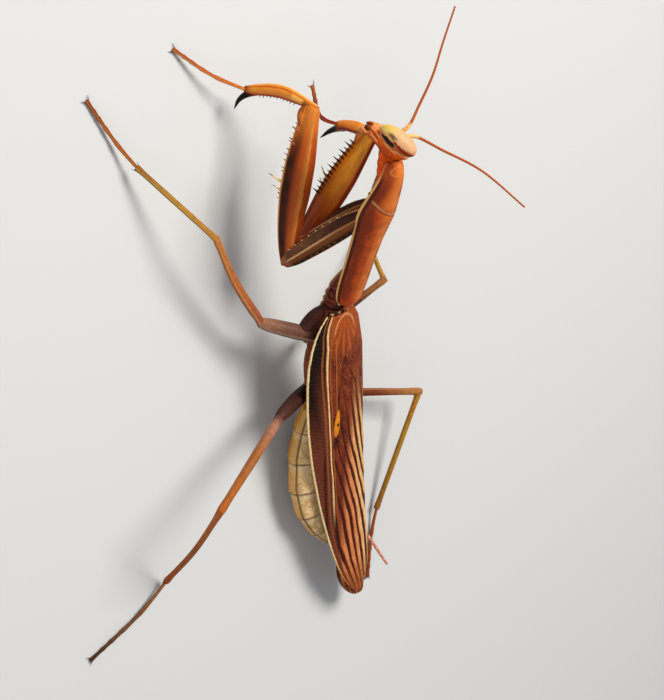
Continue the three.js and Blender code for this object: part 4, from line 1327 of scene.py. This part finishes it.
# ---------------------------------------------------------------- head
# A triangular capsule, broad between the eyes and narrow at the mouth. Its places are given across
# to its left, out to the face and up to the crown, from the middle between the eyes.
HEAD_CENTRE = np.array([-0.3, -26.8, 22.9])
head_up = np.array([-0.33, 0.72, 0.61]) / np.linalg.norm([-0.33, 0.72, 0.61])
head_left = np.cross(head_up, [-0.72, -0.61, 0.33])
head_left /= np.linalg.norm(head_left)
head_out = np.cross(head_left, head_up)
CROWN = 2.5
CHIN = -2.5
EYE_PLACE = np.array([2.75, 0.6, 0.74])
EYE_RADII = np.array([1.25, 1.2, 2.42])


def on_head(across, out, up):
    """A place on the head, given by its own three ways."""
    return HEAD_CENTRE + across * head_left + out * head_out + up * head_up


def head_relief_mm(x, y, z):
    """Relief of the capsule at x across, y out and z up, in mm."""
    off = np.abs(x)
    face = np.clip(y * 2, 0, 1)
    rear = np.clip(-y * 2, 0, 1)
    relief = 0.45 * bump_at(x, 0, 1.6) * bump_at(z, 1.1, 1.1) * rear
    from_eye = np.hypot((off - EYE_PLACE[0]) / EYE_RADII[0], (z - EYE_PLACE[2]) / EYE_RADII[2])
    relief += 0.22 * bump_at(from_eye, 1.12, 0.16)
    relief += 0.16 * bump_at(z, -0.35, 0.22) * np.clip(1.3 - off, 0, 1) * face
    relief -= 0.14 * bump_at(z, -0.8, 0.12) * np.clip(1.6 - off, 0, 1) * face
    relief -= 0.12 * bump_at(z, -1.75, 0.1) * face
    relief += 0.14 * bump_at(np.hypot(off - 0.75, z - 0.55), 0.35, 0.15) * face
    relief += 0.12 * bump_at(off, 0.55, 0.18) * bump_at(z, 2.0, 0.7)
    relief -= 0.10 * bump_at(off, 1.5, 0.12) * np.clip((z - 0.6) * 2, 0, 1) * face
    relief -= 0.14 * bump_at(off - 0.35 * z, 1.75, 0.12) * bump_at(z, -1.2, 0.8)
    return relief


def head_finish():
    """Orange shell, cream down the face and brown behind, with streaks on the cheeks."""
    f = Finish("head_shell", 0.48, coat=0.05, softness=0.05)
    across, out, up = f.kept("head_place")
    off = f.math("ABSOLUTE", across)
    grain = f.noise(f.spot(), 1.4, 4)
    f.shade = f.paint("ec6008", "d04c04", grain)
    f.lay("dd9446", f.between(out, 0.2, 0.8), 0.9)
    f.lay("ecc088", f.between(out, 0.5, 0.95), f.between(up, -0.7, -1.5), 0.9)
    f.lay("eab06a", f.between(up, 1.3, 2.0), f.between(out, -0.6, 0.2))
    f.lay("842a06", f.between(out, -0.7, -1.4), 0.7)
    f.lay("5a1c06", f.between(off, 0.5, 0.2), f.between(out, -0.6, -1.0), 0.5)
    # pale and brown streaks run from the jaws to the front of the eye
    lean = f.plus(out, f.times(up, 0.41))
    streak = f.math("SINE", f.times(f.plus(lean, f.times(grain, 0.08)), 12.0))
    cheek = f.both(f.between(up, -0.7, -1.3), f.between(off, 0.4, 0.9))
    f.lay("ecb074", f.between(streak, 0.2, 0.9), cheek, 0.75)
    f.lay("8a340a", f.between(streak, -0.1, -0.8), cheek, 0.75)
    rim = f.both(f.band(out, -0.75, 0.10, 0.15), f.between(off, 1.6, 2.0), f.between(up, -1.6, -0.8))
    f.lay("f0a860", rim, 0.8)
    f.lay("d98a4a", f.band(up, -2.0, 0.2, 0.3), f.between(out, -0.4, 0.2))
    return f.done(f.bump(grain, 0.04))


head_line = [on_head(0, 0.3, CROWN), on_head(0, 0.35, -0.3), on_head(0, 0.12, CHIN)]
head = draw_out(
    "head_capsule",
    length_of(head_line),
    [(0, 2.6), (0.08, 4.2), (0.28, 5.5), (0.47, 5.1), (0.67, 3.8), (0.85, 2.9), (1, 2.0)],
    [(0, 1.3), (0.11, 2.1), (0.34, 2.75), (0.56, 2.75), (0.78, 2.25), (0.93, 1.8), (1, 1.3)],
    rings=20, sides=24, levels=3,
)
x, y, z = points_of(head).T
keep(head, "head_place", np.stack([x, y, CROWN - z], 1))
raise_relief(head, lambda *form: head_relief_mm(*kept(head, "head_place").T))
lay_along(head, head_line, head_out)
set_up(head, head_finish(), "head_shell", "head")

# ---------------------------------------------------------------- eyes
# Long domed compound eyes on the corners of the head, blunt at the crown. They are cream, yellower
# in front, with a black patch low behind and a red-brown band that rises from it.


def eye_finish():
    """Cream dome with fine wisps, its yellow front, black patch and red-brown band."""
    f = Finish("compound_eye", 0.42, coat=0.12)
    s, out, up = f.kept()
    turn = f.math("DEGREES", f.math("ARCTAN2", out, s))
    wisps = f.noise(f.drawn(3.0, 3.0, 0.25), 2.0, 2)
    ragged = f.times(f.minus(f.noise(f.spot(), 2.2, 3), 0.5), 6.0)
    turn = f.plus(turn, ragged)
    f.shade = f.paint("d2a87a", "d2b268", f.between(up, -0.1, -0.5))
    f.lay("d4b04c", f.between(up, -0.35, -0.75), f.between(turn, -5.0, 15.0), 0.9)
    f.lay("cc8a66", wisps, f.between(up, -0.2, 0.4), 0.5)
    under = f.paint("c0763a", "b0541a", f.between(up, -0.3, 0.3))
    f.lay(under, f.between(turn, -18.0, -32.0))
    brown = f.between(f.away(turn, up, (-10.0, -0.34), (16.0, 0.34)), 1.2, 0.2)
    f.lay("54280c", brown, 0.85)
    f.lay("dca05e", f.band(turn, -27.0, 2.0, 3.0), f.between(up, 0.2, 0.0), f.between(up, -0.9, -0.7))
    slope = f.plus(turn, f.between(up, -0.3, 0.9, 27.0, 52.0))
    width = f.between(up, -0.3, 0.8, 3.0, 12.0)
    red = f.both(
        f.between(f.minus(f.math("ABSOLUTE", slope), width), 4.0, -1.0), f.between(up, -0.28, -0.05)
    )
    f.lay("8a2406", red)
    f.lay("e8a468", f.between(turn, -66.0, -76.0), f.between(up, 0.0, 0.2))
    black = f.between(f.away(turn, up, (-50.0, -0.40), (17.0, 0.42)), 1.08, 0.9)
    f.lay("050303", black)
    facets = f.cells(f.spot(), 9.0, 0.05)
    return f.done(f.bump(facets, 0.01))


eye_skin = eye_finish()
for side_name, side in SIDES:
    bpy.ops.object.select_all(action="DESELECT")
    bpy.ops.mesh.primitive_uv_sphere_add(segments=64, ring_count=40, radius=1)
    eye = bpy.context.object
    eye.name = eye.data.name = "eye_dome_" + side_name
    ball = points_of(eye)
    s, out, up = ball.T
    keep(eye, "form", np.stack([side * s, out, up], 1))
    blunt = np.sign(up) * np.abs(up) ** 0.85
    shaped = np.stack([s, out, np.where(up > 0, blunt, up)], 1) * EYE_RADII + EYE_PLACE * (side, 1, 1)
    places = HEAD_CENTRE + shaped @ np.stack([head_left, head_out, head_up])
    move_points(eye, (places + WAIST) * MM)
    bpy.ops.object.mode_set(mode="EDIT")
    bpy.ops.mesh.select_all(action="SELECT")
    bpy.ops.mesh.normals_make_consistent(inside=False)
    bpy.ops.object.mode_set(mode="OBJECT")
    bpy.ops.object.shade_smooth()
    set_up(eye, eye_skin, "eye", "eye_" + side_name)

# ---------------------------------------------------------------- mouthparts
# The lip in front, the two jaws and the lower lip behind it, and the jointed palps. Their places
# are given as those of the head are.
PALP_LINKS = [(0, 0.4), (0.05, 0.5), (0.28, 0.42), (0.32, 0.5), (0.6, 0.4), (0.64, 0.48),
              (0.95, 0.42), (1, 0.2)]


def mouth_finish(name, root, tip):
    f = Finish(name, 0.4, coat=0.15)
    grain = f.noise(f.spot(), 3.0, 3)
    f.shade = f.paint(root, tip, f.between(f.kept()[2], 0.3, 0.9))
    f.lay("3a0e06", grain, 0.3)
    return f.done(f.bump(grain, 0.03))


lip_skin = mouth_finish("lip", "d07a30", "a8481a")
jaw_skin = mouth_finish("jaw", "a04c20", "3c160c")
palp_skin = mouth_finish("palp", "b85c24", "d88a4c")


def mouth_rod(name, places, wide, high, skin):
    line = [on_head(*place) for place in places]
    rod = shell(name, line, wide, high, up=head_out, rings=14, sides=12)
    set_up(rod, skin, "mouth_shell", "mouthparts")


mouth_rod("upper_lip", [(0, 0.65, -1.9), (0, 0.6, -2.6), (0, 0.3, -3.15)],
          [(0, 1.5), (0.5, 1.7), (0.85, 1.3), (1, 0.7)], [(0, 0.6), (0.6, 0.5), (1, 0.25)], lip_skin)
mouth_rod("lower_lip", [(0, -0.35, -1.9), (0, -0.45, -2.6), (0, -0.3, -3.05)],
          [(0, 1.4), (0.5, 1.5), (0.85, 1.1), (1, 0.6)], [(0, 0.7), (0.6, 0.5), (1, 0.25)], lip_skin)
for side_name, side in SIDES:
    jaw_places = [(side * 0.7, 0.1, -1.8), (side * 0.65, 0.05, -2.5), (side * 0.15, 0, -3.05)]
    mouth_rod("jaw_" + side_name, jaw_places,
              [(0, 0.8), (0.5, 0.75), (0.85, 0.5), (1, 0.15)], [(0, 0.8), (0.5, 0.7), (1, 0.2)], jaw_skin)
    palp_places = [(side * 0.4, -0.3, -2.1), (side * 0.9, -0.7, -2.6), (side * 0.7, -0.5, -3.4)]
    mouth_rod("long_palp_" + side_name, palp_places, PALP_LINKS, PALP_LINKS, palp_skin)

# ---------------------------------------------------------------- feelers
# Two thread-like feelers of many links, each on a stout pale first joint. A link is three rings of
# the mesh, the first of them drawn in.
FEELER_LINKS = 42
LINK_RINGS = 3


def feeler_finish():
    f = Finish("feeler_thread", 0.45)
    along = f.kept()[2]
    link = f.math("SINE", f.times(along, 2 * math.pi * FEELER_LINKS))
    thread = f.paint("a04a1c", "b4602c", f.between(link, 0.0, 1.0))
    f.shade = f.paint("f0b878", thread, f.between(along, 0.07, 0.11))
    return f.done()


feeler_skin = feeler_finish()
feeler_rings = FEELER_LINKS * LINK_RINGS
feeler_widths = []
for ring in range(feeler_rings + 1):
    part = ring / feeler_rings
    thick = np.interp(part, (0, 0.02, 0.07, 0.1, 0.14, 1), (0.62, 0.7, 0.6, 0.46, 0.42, 0.26))
    feeler_widths.append((part, thick * (1.0 if ring % LINK_RINGS else 0.86)))
for side_name, line in {
    "left": [(-2.1, -27.5, 23.7), (-2.7, -28.1, 24.4), (-4.2, -29.9, 24.9),
             (-6.1, -32.9, 25.9), (-8.0, -36.1, 26.4), (-10.1, -39.7, 27.1)],
    "right": [(-3.2, -26.6, 23.3), (-4.0, -26.4, 23.8), (-5.9, -24.3, 26.0),
              (-8.2, -21.4, 29.3), (-10.4, -16.6, 33.1)],
}.items():
    feeler = shell("feeler_" + side_name, line, feeler_widths, rings=None, sides=6, levels=1)
    set_up(feeler, feeler_skin, "feeler", "antenna_" + side_name)
